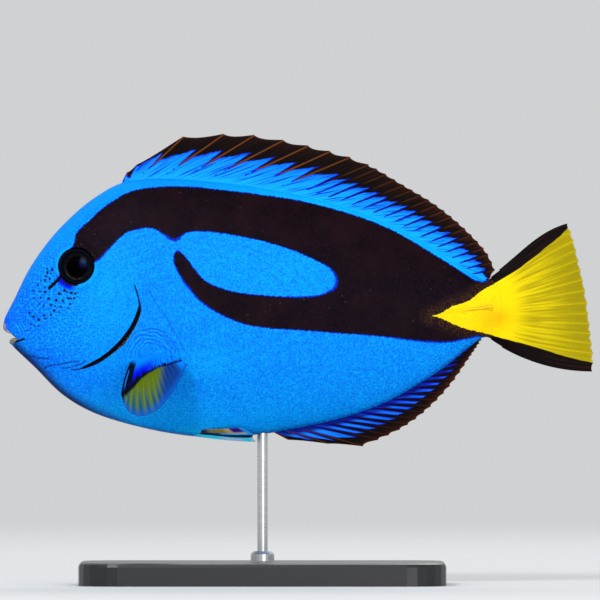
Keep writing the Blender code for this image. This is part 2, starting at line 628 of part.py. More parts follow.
def main():
    for leftover in list(bpy.data.objects):
        bpy.data.objects.remove(leftover)
    fish = bpy.data.collections.new("regal_blue_tang")
    cutters = bpy.data.collections.new("cutters")
    bpy.context.scene.collection.children.link(fish)
    bpy.context.scene.collection.children.link(cutters)

    gill = smooth_line(GILL_EDGE)
    stalk_cut = smooth_line(STALK_CUT)
    tail_root = smooth_line(TAIL_ROOT)
    snout = np.zeros((2, 2))
    head_grid = body_patch(snout, gill, HEAD_COLUMNS, BODY_ROWS)
    body_grid = np.concatenate([
        head_grid[:-1],
        body_patch(gill, stalk_cut, TORSO_COLUMNS, BODY_ROWS)[:-1],
        body_patch(stalk_cut, tail_root, STALK_COLUMNS, BODY_ROWS),
    ])
    whole = add_object("body_cutter", flesh("body", body_grid), "blue_skin", cutters)
    body_cutter = inflated(whole, "body_cutter_grown", cutters)

    eyes = [eye(side, fish) for side in (-1, 1)]
    eye_cutters = [inflated(ball, ball.name + "_cutter", cutters) for ball in eyes]
    head(fish, cutters, head_grid, eye_cutters)
    torso_grid = body_patch(offset_curve(gill, GAP), stalk_cut, TORSO_COLUMNS, BODY_ROWS)
    add_object("torso", flesh("torso", torso_grid), "blue_skin", fish)
    stalk_grid = body_patch(offset_curve(stalk_cut, GAP), tail_root, STALK_COLUMNS, BODY_ROWS)
    add_object("tail_stalk", flesh("tail_stalk", stalk_grid), "black_skin", fish)

    tail_fin(fish, tail_root)
    median_fin("dorsal_fin", DORSAL_KNOTS, BACK, DORSAL_SPINES + DORSAL_SOFT, 1, 6, "black_skin", fish,
               end=((146.0, 13.75), (147.0, 14.4)))
    median_fin("anal_fin", ANAL_KNOTS, BELLY, ANAL_SPINES + ANAL_SOFT, -1, 5, "black_skin", fish,
               end=((144.6, -5.9), (145.4, -5.6)))
    for side in (-1, 1):
        pectoral_fin(side, fish, body_cutter)
        pelvic_fin(side, fish, body_cutter)
        tail_spine(side, fish, body_cutter)
    stand_base(fish)
    stand_rod(fish, body_cutter)

    cutters.hide_render = True
    for helper in cutters.objects:
        helper.hide_render = True
        helper.display_type = "WIRE"
    for piece in fish.objects:
        piece.data.shade_smooth()
        piece.data.set_sharp_from_angle(angle=math.radians(40))


main()
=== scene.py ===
# %% [markdown]
# # A regal blue tang, painted and lit
# This script gives a life-size model of a regal blue tang its looks. The fish is a reef fish as
# flat as a plate and about 180 mm long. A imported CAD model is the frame: every piece here stands
# in that frame, in metres. The fish faces -X, its left side faces -Y, and the table is at Z = 0.
# The tables below are in millimetres behind and above the tip of the snout, and outlines that
# are drawn on the skin are in pixels of the photograph, which one function turns to millimetres.

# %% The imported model
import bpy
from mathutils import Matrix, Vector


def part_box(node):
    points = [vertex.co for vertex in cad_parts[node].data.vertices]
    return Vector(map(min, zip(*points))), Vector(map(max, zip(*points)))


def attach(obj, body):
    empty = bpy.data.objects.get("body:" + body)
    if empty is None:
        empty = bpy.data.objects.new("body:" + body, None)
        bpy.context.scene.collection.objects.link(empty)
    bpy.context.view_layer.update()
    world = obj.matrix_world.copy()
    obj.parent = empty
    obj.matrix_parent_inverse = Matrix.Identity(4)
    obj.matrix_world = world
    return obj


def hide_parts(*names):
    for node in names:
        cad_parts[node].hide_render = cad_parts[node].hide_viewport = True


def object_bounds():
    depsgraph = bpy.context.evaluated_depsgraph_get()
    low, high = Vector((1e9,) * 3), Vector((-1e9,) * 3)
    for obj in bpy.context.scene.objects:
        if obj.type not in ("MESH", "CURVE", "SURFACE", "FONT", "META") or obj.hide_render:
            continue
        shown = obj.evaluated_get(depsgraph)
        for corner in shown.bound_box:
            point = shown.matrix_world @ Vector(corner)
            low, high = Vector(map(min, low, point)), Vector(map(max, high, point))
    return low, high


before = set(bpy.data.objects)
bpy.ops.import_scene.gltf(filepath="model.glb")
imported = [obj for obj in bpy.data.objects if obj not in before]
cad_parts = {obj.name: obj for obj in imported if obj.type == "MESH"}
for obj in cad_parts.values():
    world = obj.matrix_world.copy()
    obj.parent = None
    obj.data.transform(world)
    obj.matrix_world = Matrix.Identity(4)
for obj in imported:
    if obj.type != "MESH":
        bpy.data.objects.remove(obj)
cad_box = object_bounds()
print("CAD nodes:", ", ".join(sorted(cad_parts)))

# %% Blender's modules and the two units
import math

import bmesh
import bpy
import numpy as np
from mathutils import Vector

MM = 0.001
PIXEL = 0.3056               # mm on the fish that one pixel of the 600 by 600 photograph covers
SNOUT_PIXEL = (4.0, 323.0)   # where the snout's tip is in the photograph
EYE_CENTRE = (22.2, 17.4)    # mm behind and above the snout's tip

eye_low, eye_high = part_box("eye_left")
eye_middle = (eye_low + eye_high) / 2
SNOUT = np.array([eye_middle.x / MM - EYE_CENTRE[0], 0.0, eye_middle.z / MM - EYE_CENTRE[1]])
print("the snout's tip stands at", SNOUT.round(2), "mm")


def place(points):
    """Points of the fish, as x, y and z in mm from the snout's tip, in metres of the frame."""
    return (np.asarray(points, float) + SNOUT) * MM


def from_photo(points):
    """Pixels of the photograph as x and z in mm from the snout's tip."""
    pixels = np.asarray(points, float)
    return np.stack([pixels[..., 0] - SNOUT_PIXEL[0], SNOUT_PIXEL[1] - pixels[..., 1]], axis=-1) * PIXEL


# %% [markdown]
# ## Camera, floor and light
# The photograph was taken level with the fish, square to its side, from far enough away that
# nothing looks foreshortened. A long lens 5 m away does the same. The floor is pale and fades
# into the pale world around it, so no edge or horizon shows from any side. A lamp high in front,
# on the head's side, gives the shading. Two wider and weaker ones, low in front and high behind,
# open its shadows.

# %% Camera
CAMERA_DISTANCE = 5.0               # m
FRAME_WIDTH = 600 * PIXEL * MM      # m that the photograph is wide at the fish
SENSOR = 36.0                       # mm
middle = from_photo([(300, 300)])[0]

camera = bpy.data.objects.new("camera", bpy.data.cameras.new("camera"))
camera.data.sensor_width = SENSOR
camera.data.lens = SENSOR * CAMERA_DISTANCE / FRAME_WIDTH
camera.location = place((middle[0], 0.0, middle[1])) - np.array([0.0, CAMERA_DISTANCE, 0.0])
camera.rotation_euler = (math.pi / 2, 0.0, 0.0)
bpy.context.scene.collection.objects.link(camera)
bpy.context.scene.camera = camera
# Standard shows the blues as pure as they are chosen below.
bpy.context.scene.view_settings.view_transform = "Standard"
print("lens", round(camera.data.lens, 1), "mm")

# %% One function for colours, one for nodes and one for materials
def linear(colour):
    """An sRGB hex colour as the linear colour that a shader works with."""
    parts = [int(colour[i:i + 2], 16) / 255 for i in (1, 3, 5)]
    return (*[p / 12.92 if p <= 0.04045 else ((p + 0.055) / 1.055) ** 2.4 for p in parts], 1.0)


def wire(tree, target, sockets):
    """Sets a node's inputs. Each takes a number, a hex colour, another node's output, or a node."""
    for key, value in sockets.items():
        if isinstance(value, bpy.types.Node):
            value = next(output for output in value.outputs if output.enabled)
        if isinstance(value, bpy.types.NodeSocket):
            tree.links.new(value, target.inputs[key])
        else:
            is_colour = isinstance(value, str) and value.startswith("#")
            target.inputs[key].default_value = linear(value) if is_colour else value


def node(tree, kind, sockets=None, **settings):
    """Adds a node with its settings and its inputs."""
    made = tree.nodes.new(kind)
    for key, value in settings.items():
        setattr(made, key, value)
    wire(tree, made, sockets or {})
    return made


def material(name, **sockets):
    """A new material, with plain numbers and colours set on its shader's own sockets."""
    made = bpy.data.materials.new(name)
    made.use_nodes = True
    shader = made.node_tree.nodes["Principled BSDF"]
    wire(made.node_tree, shader, {key.replace("_", " "): value for key, value in sockets.items()})
    return made, made.node_tree, shader


# %% Floor, world and lamps
FLOOR_RADIUS = 1.6           # m
PALE = "#dfe1e2"
WORLD_STRENGTH = 0.85
AIM = Vector((0, 0, 0.08))   # m, the place that the lamps point at, near the middle of the fish
LAMPS = {
    # name: place and size in metres, strength in watts
    "key": ((-0.5, -1.3, 0.95), 0.34, 11.5),
    "fill": ((0.5, -1.5, 0.06), 0.9, 8.5),
    "back": ((0.3, 1.3, 1.1), 0.9, 7.0),
}

bpy.ops.mesh.primitive_circle_add(vertices=128, radius=FLOOR_RADIUS, fill_type="NGON")
floor = bpy.context.object
floor.name = "floor"
# Matt paper: no shine, and a grain so fine that it only keeps the floor from looking empty.
finish, tree, shader = material("matt_white_paper", Roughness=0.9)
centre = node(tree, "ShaderNodeTexCoord").outputs["Object"]
away = node(tree, "ShaderNodeVectorMath", {0: centre}, operation="LENGTH")
grain = node(tree, "ShaderNodeTexNoise", {"Vector": centre, "Scale": 900.0, "Detail": 2.0})
tint = node(tree, "ShaderNodeMix", {0: grain, 6: "#dadcdd", 7: "#e8eaeb"}, data_type="RGBA")
fade = node(tree, "ShaderNodeMapRange", {0: away, 1: 0.35, 2: FLOOR_RADIUS * 0.95, 3: 1.0, 4: 0.0},
            interpolation_type="SMOOTHSTEP")
wire(tree, shader, {"Base Color": tint, "Alpha": fade})
floor.data.materials.append(finish)

world = bpy.data.worlds.new("pale_studio")
world.use_nodes = True
wire(world.node_tree, world.node_tree.nodes["Background"], {"Color": PALE, "Strength": WORLD_STRENGTH})
bpy.context.scene.world = world

for name, (where, size, watts) in LAMPS.items():
    lamp = bpy.data.objects.new(name, bpy.data.lights.new(name, "AREA"))
    lamp.data.shape = "DISK"
    lamp.data.size = size
    lamp.data.energy = watts
    lamp.location = where
    lamp.rotation_euler = (AIM - Vector(where)).to_track_quat("-Z", "Y").to_euler()
    bpy.context.scene.collection.objects.link(lamp)
print("lamps:", ", ".join(LAMPS))

# %% [markdown]
# ## Curves and meshes in code
# Outlines are a few points each, joined by a smooth curve. Surfaces are grids of points: a grid
# is the quickest way to a shape that has one thickness at every place of its side view, and its
# points can carry values, such as how far they lie inside a marking. The materials read those.

# %% Curves
def smooth_line(points, samples=24):
    """A smooth curve through the points, after Catmull and Rom, as many short steps."""
    given = np.array(points, float)
    steps = np.linalg.norm(np.diff(given, axis=0), axis=1) ** 0.5
    rates = np.diff(given, axis=0) / steps[:, None]
    slopes = np.vstack([rates[:1], rates, rates[-1:]])
    weights = np.concatenate([[1.0], steps, [1.0]])[:, None]
    slopes = (slopes[1:] * weights[:-1] + slopes[:-1] * weights[1:]) / (weights[:-1] + weights[1:])
    slopes[0], slopes[-1] = rates[0], rates[-1]
    line = []
    t = np.linspace(0, 1, samples, endpoint=False)[:, None]
    for i, step in enumerate(steps):
        line.append(
            (1 + 2 * t) * (1 - t) ** 2 * given[i] + t * (1 - t) ** 2 * step * slopes[i]
            + t * t * (3 - 2 * t) * given[i + 1] - t * t * (1 - t) * step * slopes[i + 1]
        )
    return np.vstack(line + [given[-1:]])


def evenly(line, shares):
    """The points at these shares of a line's length."""
    run = np.concatenate([[0.0], np.cumsum(np.linalg.norm(np.diff(line, axis=0), axis=1))])
    at = np.asarray(shares) * run[-1]
    return np.stack([np.interp(at, run, line[:, axis]) for axis in range(line.shape[1])], axis=1)


def crowded(count, peaks):
    """Shares from 0 to 1 that stand closer together at the peaks: place, width and strength of each."""
    fine = np.linspace(0, 1, 2001)
    density = 1 + sum(strength * np.exp(-((fine - at) / width) ** 2) for at, width, strength in peaks)
    total = np.concatenate([[0.0], np.cumsum((density[1:] + density[:-1]) / 2)])
    return np.interp(np.linspace(0, total[-1], count), total, fine)


def ramp(value, start, end):
    """0 before start, 1 after end, and a smooth rise between them. End may be the lower one."""
    t = np.clip((value - start) / (end - start), 0, 1)
    return t * t * (3 - 2 * t)


# %% Meshes and the values on their points
def at_depth(flat, out):
    """Side-view points as x, y and z, with their distances from the mid-plane as y."""
    return np.stack([flat[:, 0], np.broadcast_to(out, len(flat)), flat[:, 1]], axis=1)


def mesh_object(name, points, faces):
    """An object with a smooth-shaded mesh. The points are mm from the snout's tip."""
    mesh = bpy.data.meshes.new(name)
    mesh.from_pydata(place(points).tolist(), [], faces)
    mesh.update()
    mesh.shade_smooth()
    made = bpy.data.objects.new(name, mesh)
    bpy.context.scene.collection.objects.link(made)
    return made


def store(target, name, values):
    """Keeps one number, or one colour, for each point of an object's mesh."""
    values = np.asarray(values, np.float32)
    coloured = values.ndim == 2
    kept = target.data.attributes.new(name, "FLOAT_COLOR" if coloured else "FLOAT", "POINT")
    kept.data.foreach_set("color" if coloured else "value", values.ravel())


def read(target, name):
    """The numbers that an object's points carry under this name."""
    values = np.zeros(len(target.data.vertices), np.float32)
    target.data.attributes[name].data.foreach_get("value", values)
    return values


def points_of(target):
    """An object's points, in mm from the snout's tip."""
    flat = np.zeros(len(target.data.vertices) * 3)
    target.data.vertices.foreach_get("co", flat)
    return flat.reshape(-1, 3) / MM - SNOUT


def finished(target, finish, slot, *nodes):
    """Gives a piece its material and the frame's body, and hides the CAD nodes that it stands for."""
    target.data.materials.clear()
    target.data.materials.append(finish)
    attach(target, "root")
    if nodes:
        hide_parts(*nodes)
    print(target.name, len(target.data.polygons), "faces")


# %% [markdown]
# ## The body
# The fish is flat, so its body is drawn as a side view: a line for the back, a line for the
# belly, and a half-width at each distance from the snout. A power of the height between the two
# lines rounds the section off to a keel above and below. The solids of the CAD model use the same
# numbers, so the skin lies on them. The grid of the skin follows the free edge of the gill cover,
# and its rows and columns crowd together at the edges, the mouth, the eye and the gill.

# %% The outlines that the skin shares with the solids
BACK_LINE = [
    (-0.15, -1.0), (-0.05, 0.1), (0.3, 1.6), (2.8, 6.6), (7.9, 16.8), (14.1, 25.6), (20.2, 32.1),
    (26.3, 37.3), (35.1, 42.5), (42.5, 44.0), (50.7, 44.2), (63.0, 43.3), (76.7, 41.6), (90.5, 39.0),
    (102.7, 35.8), (114.9, 31.4), (127.1, 25.1), (136.3, 19.3), (143.0, 14.9), (147.0, 13.0),
    (149.4, 14.1),
]
BELLY_LINE = [
    (-0.15, -1.0), (0.0, -1.9), (0.6, -3.3), (1.3, -4.8), (1.95, -6.15), (3.2, -7.6), (9.5, -13.6),
    (17.7, -21.7), (26.9, -27.2), (41.6, -31.8), (56.8, -34.5), (66.0, -34.8), (80.7, -33.7),
    (99.6, -30.1), (108.8, -27.4), (118.0, -23.7), (127.1, -18.5), (134.8, -13.4), (142.0, -7.6),
    (147.0, -4.3), (149.4, -5.0),
]
GILL_EDGE = [
    (35.1, 42.5), (36.9, 31.5), (38.6, 20.5), (39.9, 12.5), (41.4, 7.2), (41.7, 4.0), (40.3, 0.0),
    (37.6, -4.2), (33.6, -8.2), (28.6, -11.3), (22.6, -13.8), (17.6, -16.2), (14.1, -18.4),
]
TAIL_ROOT = [(149.4, 14.1), (151.6, 10.6), (152.5, 4.6), (151.6, -1.3), (149.4, -5.0)]
UPPER_JAW = [
    (-0.15, -1.0), (0.0, -1.9), (0.6, -2.5), (1.4, -2.9), (2.2, -3.2), (2.8, -3.8), (3.5, -4.4), (4.3, -4.85),
]
LOWER_JAW = [(4.3, -4.85), (3.6, -5.05), (2.9, -5.35), (2.3, -5.75), (1.95, -6.15)]
HALF_WIDTHS = [
    (-0.15, 0.0), (0.5, 1.5), (2.0, 2.9), (5.0, 4.3), (10.0, 6.2), (16.0, 8.0), (22.0, 9.4),
    (30.0, 10.9), (40.0, 12.0), (52.0, 12.5), (70.0, 12.1), (90.0, 10.7), (110.0, 8.2), (125.0, 6.0),
    (138.0, 4.3), (147.0, 3.3), (153.0, 2.4),
]
KEEL_SHARPNESS = 0.58        # 0.5 makes the section an ellipse, more makes a sharper back and belly
SWELLINGS = [
    # centre x and z, reach along x and z, height
    (31.0, -1.0, 9.0, 11.0, 0.7),      # cheek
    (45.5, -7.5, 5.5, 5.0, 0.9),       # muscle of the pectoral fin
    (22.2, 17.4, 7.6, 7.6, 0.7),       # round the eye
]
BACK, BELLY, GILL, TAIL_END = (smooth_line(p) for p in (BACK_LINE, BELLY_LINE, GILL_EDGE, TAIL_ROOT))
MOUTH = np.concatenate([smooth_line(UPPER_JAW)[:-1], smooth_line(LOWER_JAW)])
WIDTH = smooth_line(HALF_WIDTHS)
EDGE_LEVEL = 0.9999          # 1 is the outline and 0 mid-depth: the last level with some thickness


def half_thickness(x, z):
    """Half the body's thickness at a point of the side view, in mm."""
    top = np.interp(x, BACK[:, 0], BACK[:, 1])
    bottom = np.interp(x, BELLY[:, 0], BELLY[:, 1])
    half = np.maximum((top - bottom) / 2, 1e-6)
    level = np.clip((z - (top + bottom) / 2) / half, -EDGE_LEVEL, EDGE_LEVEL)
    swelling = sum(
        height * np.exp(-((x - cx) / rx) ** 2 - ((z - cz) / rz) ** 2) for cx, cz, rx, rz, height in SWELLINGS
    )
    return (1 - level ** 2) ** KEEL_SHARPNESS * (np.interp(x, WIDTH[:, 0], WIDTH[:, 1]) + swelling)


low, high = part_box("torso")
depth = 2 * half_thickness(np.array([52.0]), np.array([5.0]))[0]
print("body", round(depth, 1), "mm thick here, torso node", round((high.y - low.y) / MM, 1), "mm")

# %% The skin's grid of side-view points
SKIN_ROWS = 112
HEAD_COLUMNS, TRUNK_COLUMNS = 150, 214


def part_of(line, first, last):
    """The stretch of a line between the points nearest to first and last."""
    start, end = (int(np.argmin(np.linalg.norm(line - p, axis=1))) for p in (first, last))
    return line[start:end + 1]


def patch(front, rear, columns, rows):
    """Side-view points between two curves that run from back to belly (a Coons patch)."""
    back = evenly(part_of(BACK, front[0], rear[0]), columns)
    belly = evenly(part_of(BELLY, front[-1], rear[-1]), columns)
    front, rear = evenly(front, rows), evenly(rear, rows)
    front[0], front[-1], rear[0], rear[-1] = back[0], belly[0], back[-1], belly[-1]
    s, t = columns[:, None, None], rows[None, :, None]
    across = (1 - t) * back[:, None] + t * belly[:, None]
    corners = (1 - t) * ((1 - s) * back[0] + s * back[-1]) + t * ((1 - s) * belly[0] + s * belly[-1])
    return across + (1 - s) * front[None] + s * rear[None] - corners


turn = np.linspace(0, math.pi, SKIN_ROWS)
rows = 0.4 * np.linspace(0, 1, SKIN_ROWS) + 0.6 * (1 - np.cos(turn)) / 2
head_columns = crowded(HEAD_COLUMNS, [(0.0, 0.16, 1.5), (0.5, 0.18, 0.8), (1.0, 0.05, 4.0)])
trunk_columns = crowded(TRUNK_COLUMNS, [(0.0, 0.018, 5.0), (1.0, 0.1, 0.5)])
side_view = np.concatenate([
    patch(MOUTH, GILL, head_columns, rows)[:-1],
    patch(GILL, TAIL_END, trunk_columns, rows),
])
print("skin grid", side_view.shape[:2])

# %% [markdown]
# ## Relief of the skin
# The skin isn't a smooth shell. It has a socket with a raised rim for the eye, an edge where the
# gill cover ends over a dark slit, two nostrils with a groove behind them, folds over the root of
# the pectoral fin, a slot that the tail spine folds into, and a faint lateral line. Each is a
# distance from a point or from a drawn line, put through a ramp or a bell curve, and all are real
# shape.

# %% Distances in the side view
def distance_to(points, line):
    """How far side-view points are from a line, and which side they are on: + to its left."""
    best = np.full(len(points), 1e9)
    side = np.zeros(len(points))
    for start, end in zip(line[:-1], line[1:]):
        along = end - start
        share = np.clip((points - start) @ along / (along @ along), 0, 1)
        off = points - start - share[:, None] * along
        far = np.hypot(off[:, 0], off[:, 1])
        nearer = far < best - 1e-9
        best[nearer] = far[nearer]
        side[nearer] = np.sign(along[0] * off[nearer, 1] - along[1] * off[nearer, 0])
    return best, side


def inside(points, outline):
    """Distance from a closed outline in mm, above 0 inside it and below 0 outside."""
    ring = np.vstack([outline, outline[:1]])
    crossings = np.zeros(len(points), int)
    for (ax, az), (bx, bz) in zip(ring[:-1], ring[1:]):
        spans = (az > points[:, 1]) != (bz > points[:, 1])
        if spans.any():
            x = ax + (points[:, 1] - az) * (bx - ax) / (bz - az if bz != az else 1.0)
            crossings += spans & (points[:, 0] < x)
    return distance_to(points, ring)[0] * np.where(crossings % 2, 1, -1)


# %% Drawn lines of the skin
# In pixels of the photograph: the slit behind the gill cover, then folds, groove and lateral line.
GILL_SLIT = from_photo([
    (134.0, 284.0), (136.6, 292.0), (138.8, 300.0), (139.4, 306.0), (137.5, 311.0), (134.5, 319.0),
    (130.4, 327.0), (121.2, 339.4), (110.0, 350.4), (101.0, 357.2), (91.2, 362.6), (84.2, 366.4),
    (77.5, 369.8), (85.5, 368.4), (94.7, 365.2), (102.0, 361.4), (111.0, 355.0), (125.3, 343.8),
    (135.5, 327.5), (139.8, 318.0), (141.6, 310.8), (141.2, 305.0), (139.0, 297.0), (137.6, 291.0),
    (135.2, 285.0),
])
DIAGONAL_FOLD = from_photo([(149, 290), (156, 303), (165, 315), (174, 331), (186, 352)])
EYE_GROOVE = from_photo([(62.0, 275.6), (59.0, 279.2), (55.5, 282.4), (52.6, 285.6), (49.6, 287.9)])
LATERAL_LINE = from_photo([
    (140, 212), (160, 207), (200, 207), (240, 213), (280, 223), (320, 238), (360, 256), (400, 277),
    (445, 300),
])
CREASES = [from_photo(line) for line in (
    [(60, 291), (72, 289.5), (84, 287.5), (92, 283)], [(74, 293), (87, 291.5), (98, 286)],
    [(38, 351), (46, 348.5), (54, 350)],
    [(17.5, 322.5), (20.5, 328), (23.5, 334.5)], [(20, 321.5), (23, 327), (26, 333)],
    [(22.3, 320), (26, 327)], [(125.5, 349.5), (128.3, 355.4), (133, 359.2)],
)]
RIDGES = [from_photo(line) for line in (
    [(82, 352), (84, 345), (86.7, 332.7), (91.8, 317), (102, 298)], [(16, 323.5), (19, 329), (21.5, 335)],
    [(18.8, 322), (21.8, 327.8), (24.7, 334)], [(21.2, 320.8), (24.5, 327), (27.5, 333)],
)]
# Thin folds of the skin that covers the root of the pectoral fin.
ROOT_FOLDS = [from_photo(line) for line in (
    [(131, 337), (137, 332), (143.6, 329.5), (150, 328.5), (157, 329), (163, 332), (169, 337), (174, 343),
     (178, 350)],
    [(150, 331.5), (158, 333), (165, 338), (171, 345), (176, 352)],
    [(136, 338), (141, 335.5), (147, 335), (153, 336.5)],
    [(146, 343), (152, 342.5), (157, 344), (163, 346.5), (168, 350)],
    [(140, 341), (146, 338.5), (154, 339), (162, 342)],
)]
# Dark lines under the eye.
EYE_LINES = [from_photo(line) for line in (
    [(63.8, 290.6), (66.5, 292), (71.7, 293), (76, 293.2), (79, 292)],
    [(66.8, 297.2), (68.8, 298.4), (72, 297.9), (75, 298.4), (76.6, 296.8)],
    [(60.5, 279.5), (64.0, 283.0), (69.0, 286.0)],
    [(62.0, 277.6), (65.5, 281.9), (71.0, 285.6), (76.5, 287.2)],
)]
# Dark wrinkles under the chin, where the skin of the throat folds in front of the gill slit. Their dark is
# painted shade in the folds.
CHIN_LINES = [from_photo(line) for line in (
    [(26, 354.9), (30.2, 356.4), (33.7, 356), (37.2, 359)], [(37.2, 359), (42, 358), (49, 359)],
    [(44.9, 368.2), (48.4, 366.1), (53.3, 365.1), (59.6, 364.4), (65.3, 363), (71.6, 361.8), (80, 361.6)],
    [(61.8, 367.8), (66, 368.1), (70.9, 367.2)], [(70.9, 369.4), (75, 369.7), (79, 369.4)],
    [(73, 366.2), (80.7, 364.4), (86.3, 361)],
)]
MOUTH_LINE = from_photo([(15.0, 342.0), (18.0, 341.2), (21.0, 340.0), (24.2, 339.2)])
JAW_LINE = from_photo([(10.6, 333.4), (13.2, 335.2), (15.6, 337.8)])
SPINE_SLOT = from_photo([(447.0, 315.4), (463.0, 313.4), (478.0, 308.9), (491.0, 307.8)])
FIN_ROOT = from_photo((152.0, 367.0))
FOLD_CENTRE = from_photo((151.8, 355.5))     # the middle of the arched folds above the fin's root
FOLD_SPACING = 1.15          # mm from one of these folds to the next
NOSTRILS = [(14.8, 16.3, 0.42), (13.3, 15.2, 0.36)]      # x, z and radius in mm
NOSTRIL_DEPTH = 0.7
SOCKET_RADIUS = 5.45
SOCKET_DEPTH = 2.4
EYE_REACH = 9.0              # mm from the eye's centre over which the skin turns into the eye's plane
COVER_LIFT = 0.42            # mm that the gill cover's edge stands above the flank
SLIT_DEPTH = 0.9
RELIEF_LINES = [
    # lines, their height in mm (below 0 for a groove) and their half-width in mm
    ([DIAGONAL_FOLD], -0.12, 0.28), ([EYE_GROOVE], -0.40, 0.45), ([MOUTH_LINE], -0.35, 0.35),
    (CREASES, -0.09, 0.30), (RIDGES, 0.07, 0.30), (CHIN_LINES, -0.12, 0.35), (ROOT_FOLDS, -0.07, 0.25),
    ([LATERAL_LINE], 0.07, 0.35), ([SPINE_SLOT], -0.30, 0.45),
]


def eye_plane(x, z):
    """Height in mm of the plane that touches the flank at the eye's centre."""
    cx, cz = EYE_CENTRE
    step = 3.0
    ends = half_thickness(np.array([cx, cx - step, cx + step, cx, cx]),
                          np.array([cz, cz, cz, cz - step, cz + step]))
    return ends[0] + (x - cx) * (ends[2] - ends[1]) / (2 * step) + (z - cz) * (ends[4] - ends[3]) / (2 * step)


def skin_height(points):
    """Distance of the skin from the mid-plane, in mm, at side-view points."""
    x, z = points[:, 0], points[:, 1]
    plain = half_thickness(x, z)
    room = np.clip(plain / 2.5, 0, 1)        # the relief dies out at the keels of back and belly
    eye = np.hypot(x - EYE_CENTRE[0], z - EYE_CENTRE[1])
    flat = ramp(eye, EYE_REACH, SOCKET_RADIUS)
    base = plain * (1 - flat) + eye_plane(x, z) * flat
    relief = 0.30 * np.exp(-((eye - 6.3) / 0.7) ** 2) - 0.12 * np.exp(-((eye - 7.9) / 0.5) ** 2)
    relief = relief - SOCKET_DEPTH * ramp(eye, SOCKET_RADIUS + 0.12, SOCKET_RADIUS - 0.25)

    off, side = distance_to(points, GILL)
    cover = off * np.where(side < 0, 1, -1)                  # above 0 on the gill cover
    lifted = np.exp(-np.clip(cover, 0, None) / 3.0) * (cover > 0)
    relief = relief + COVER_LIFT * lifted * ramp(z, 26, 8) * ramp(x, 17, 23)
    relief = relief - SLIT_DEPTH * ramp(inside(points, GILL_SLIT), -0.10, 0.55)

    fold = np.hypot(x - FIN_ROOT[0], (z - FIN_ROOT[1]) * 0.94)
    above = ramp(z, FIN_ROOT[1] + 3.5, FIN_ROOT[1] + 7.0)
    band = ramp(fold, 7.4, 8.6) * ramp(fold, 12.6, 11.0) * above
    relief = relief + 0.10 * np.sin(fold * 2 * math.pi / FOLD_SPACING) * band
    for lines, rise, width in RELIEF_LINES:
        for line in lines:
            relief = relief + rise * np.exp(-(distance_to(points, line)[0] / width) ** 2)
    for cx, cz, radius in NOSTRILS:
        hole = np.hypot(x - cx, z - cz)
        relief = relief - NOSTRIL_DEPTH * ramp(hole, radius, radius * 0.4)
        relief = relief + 0.10 * np.exp(-((hole - radius * 1.4) / 0.25) ** 2)
    return np.maximum(base + relief * room, 0)


# %% [markdown]
# ## The skin
# One closed mesh covers head, trunk and tail stalk, so no seam shows. Both flanks are the same
# grid, mirrored. In front, the grid starts at the edges of the two jaws, and a strip across them
# lines the open mouth. Grid lines are drawn in towards the rims of the eye and the nostrils, so
# that these come out round. The lips are round sections swept along the jaws by Geometry Nodes,
# which also make every fin ray below: one tree sweeps a section along any line, as wide at each
# point as the line's own value says.

# %% A node tree that sweeps a round section along lines
SWEEP_INPUTS = {
    "Lines": "NodeSocketGeometry", "Sides": "NodeSocketInt", "Width factor": "NodeSocketFloat",
    "Finish": "NodeSocketMaterial",
}
sweep = bpy.data.node_groups.new("sweep_round_section", "GeometryNodeTree")
for name, kind in SWEEP_INPUTS.items():
    sweep.interface.new_socket(name, in_out="INPUT", socket_type=kind)
sweep.interface.new_socket("Rods", in_out="OUTPUT", socket_type="NodeSocketGeometry")
given = node(sweep, "NodeGroupInput").outputs
girth = node(sweep, "GeometryNodeInputNamedAttribute", {"Name": "girth"}, data_type="FLOAT")
width = node(sweep, "ShaderNodeMath", {0: girth.outputs["Attribute"], 1: given["Width factor"]},
             operation="MULTIPLY")
curves = node(sweep, "GeometryNodeMeshToCurve", {"Mesh": given["Lines"]})
section = node(sweep, "GeometryNodeCurvePrimitiveCircle", {"Resolution": given["Sides"], "Radius": 1.0})
rods = node(sweep, "GeometryNodeCurveToMesh", {
    "Curve": curves.outputs[0], "Profile Curve": section.outputs[0], "Scale": width.outputs[0],
    "Fill Caps": True,
})
smooth = node(sweep, "GeometryNodeSetShadeSmooth", {"Geometry": rods.outputs[0]})
real = node(sweep, "GeometryNodeRealizeInstances", {"Geometry": smooth.outputs[0]})
painted = node(sweep, "GeometryNodeSetMaterial", {"Geometry": real.outputs[0], "Material": given["Finish"]})
node(sweep, "NodeGroupOutput", {"Rods": painted.outputs[0]})


def swept(name, lines, girths, sides=8, values=None, width_factor=1.0):
    """Rods along lines of points in mm, each as wide as its girths in mm. Values stay on the points."""
    mesh = bpy.data.meshes.new(name)
    starts = np.cumsum([0] + [len(line) for line in lines])
    edges = [(a + i, a + i + 1) for a, line in zip(starts, lines) for i in range(len(line) - 1)]
    mesh.from_pydata(place(np.concatenate(lines)).tolist(), edges, [])
    made = bpy.data.objects.new(name, mesh)
    bpy.context.scene.collection.objects.link(made)
    store(made, "girth", np.concatenate(girths) * MM)
    for key, value in (values or {}).items():
        store(made, key, np.concatenate(value))
    modifier = made.modifiers.new("sweep", "NODES")
    modifier.node_group = sweep
    sockets = {item.name: item.identifier for item in sweep.interface.items_tree if item.in_out == "INPUT"}
    modifier[sockets["Sides"]] = sides
    modifier[sockets["Width factor"]] = width_factor
    graph = bpy.context.evaluated_depsgraph_get()
    made.data = bpy.data.meshes.new_from_object(made.evaluated_get(graph))
    made.modifiers.clear()
    return made


# %% The skin's mesh
MOUTH_STEPS = 8              # points across the mouth's lining, from one flank to the other
MOUTH_VAULT = 0.9            # mm that the lining's middle lies deeper than the edges of the jaws


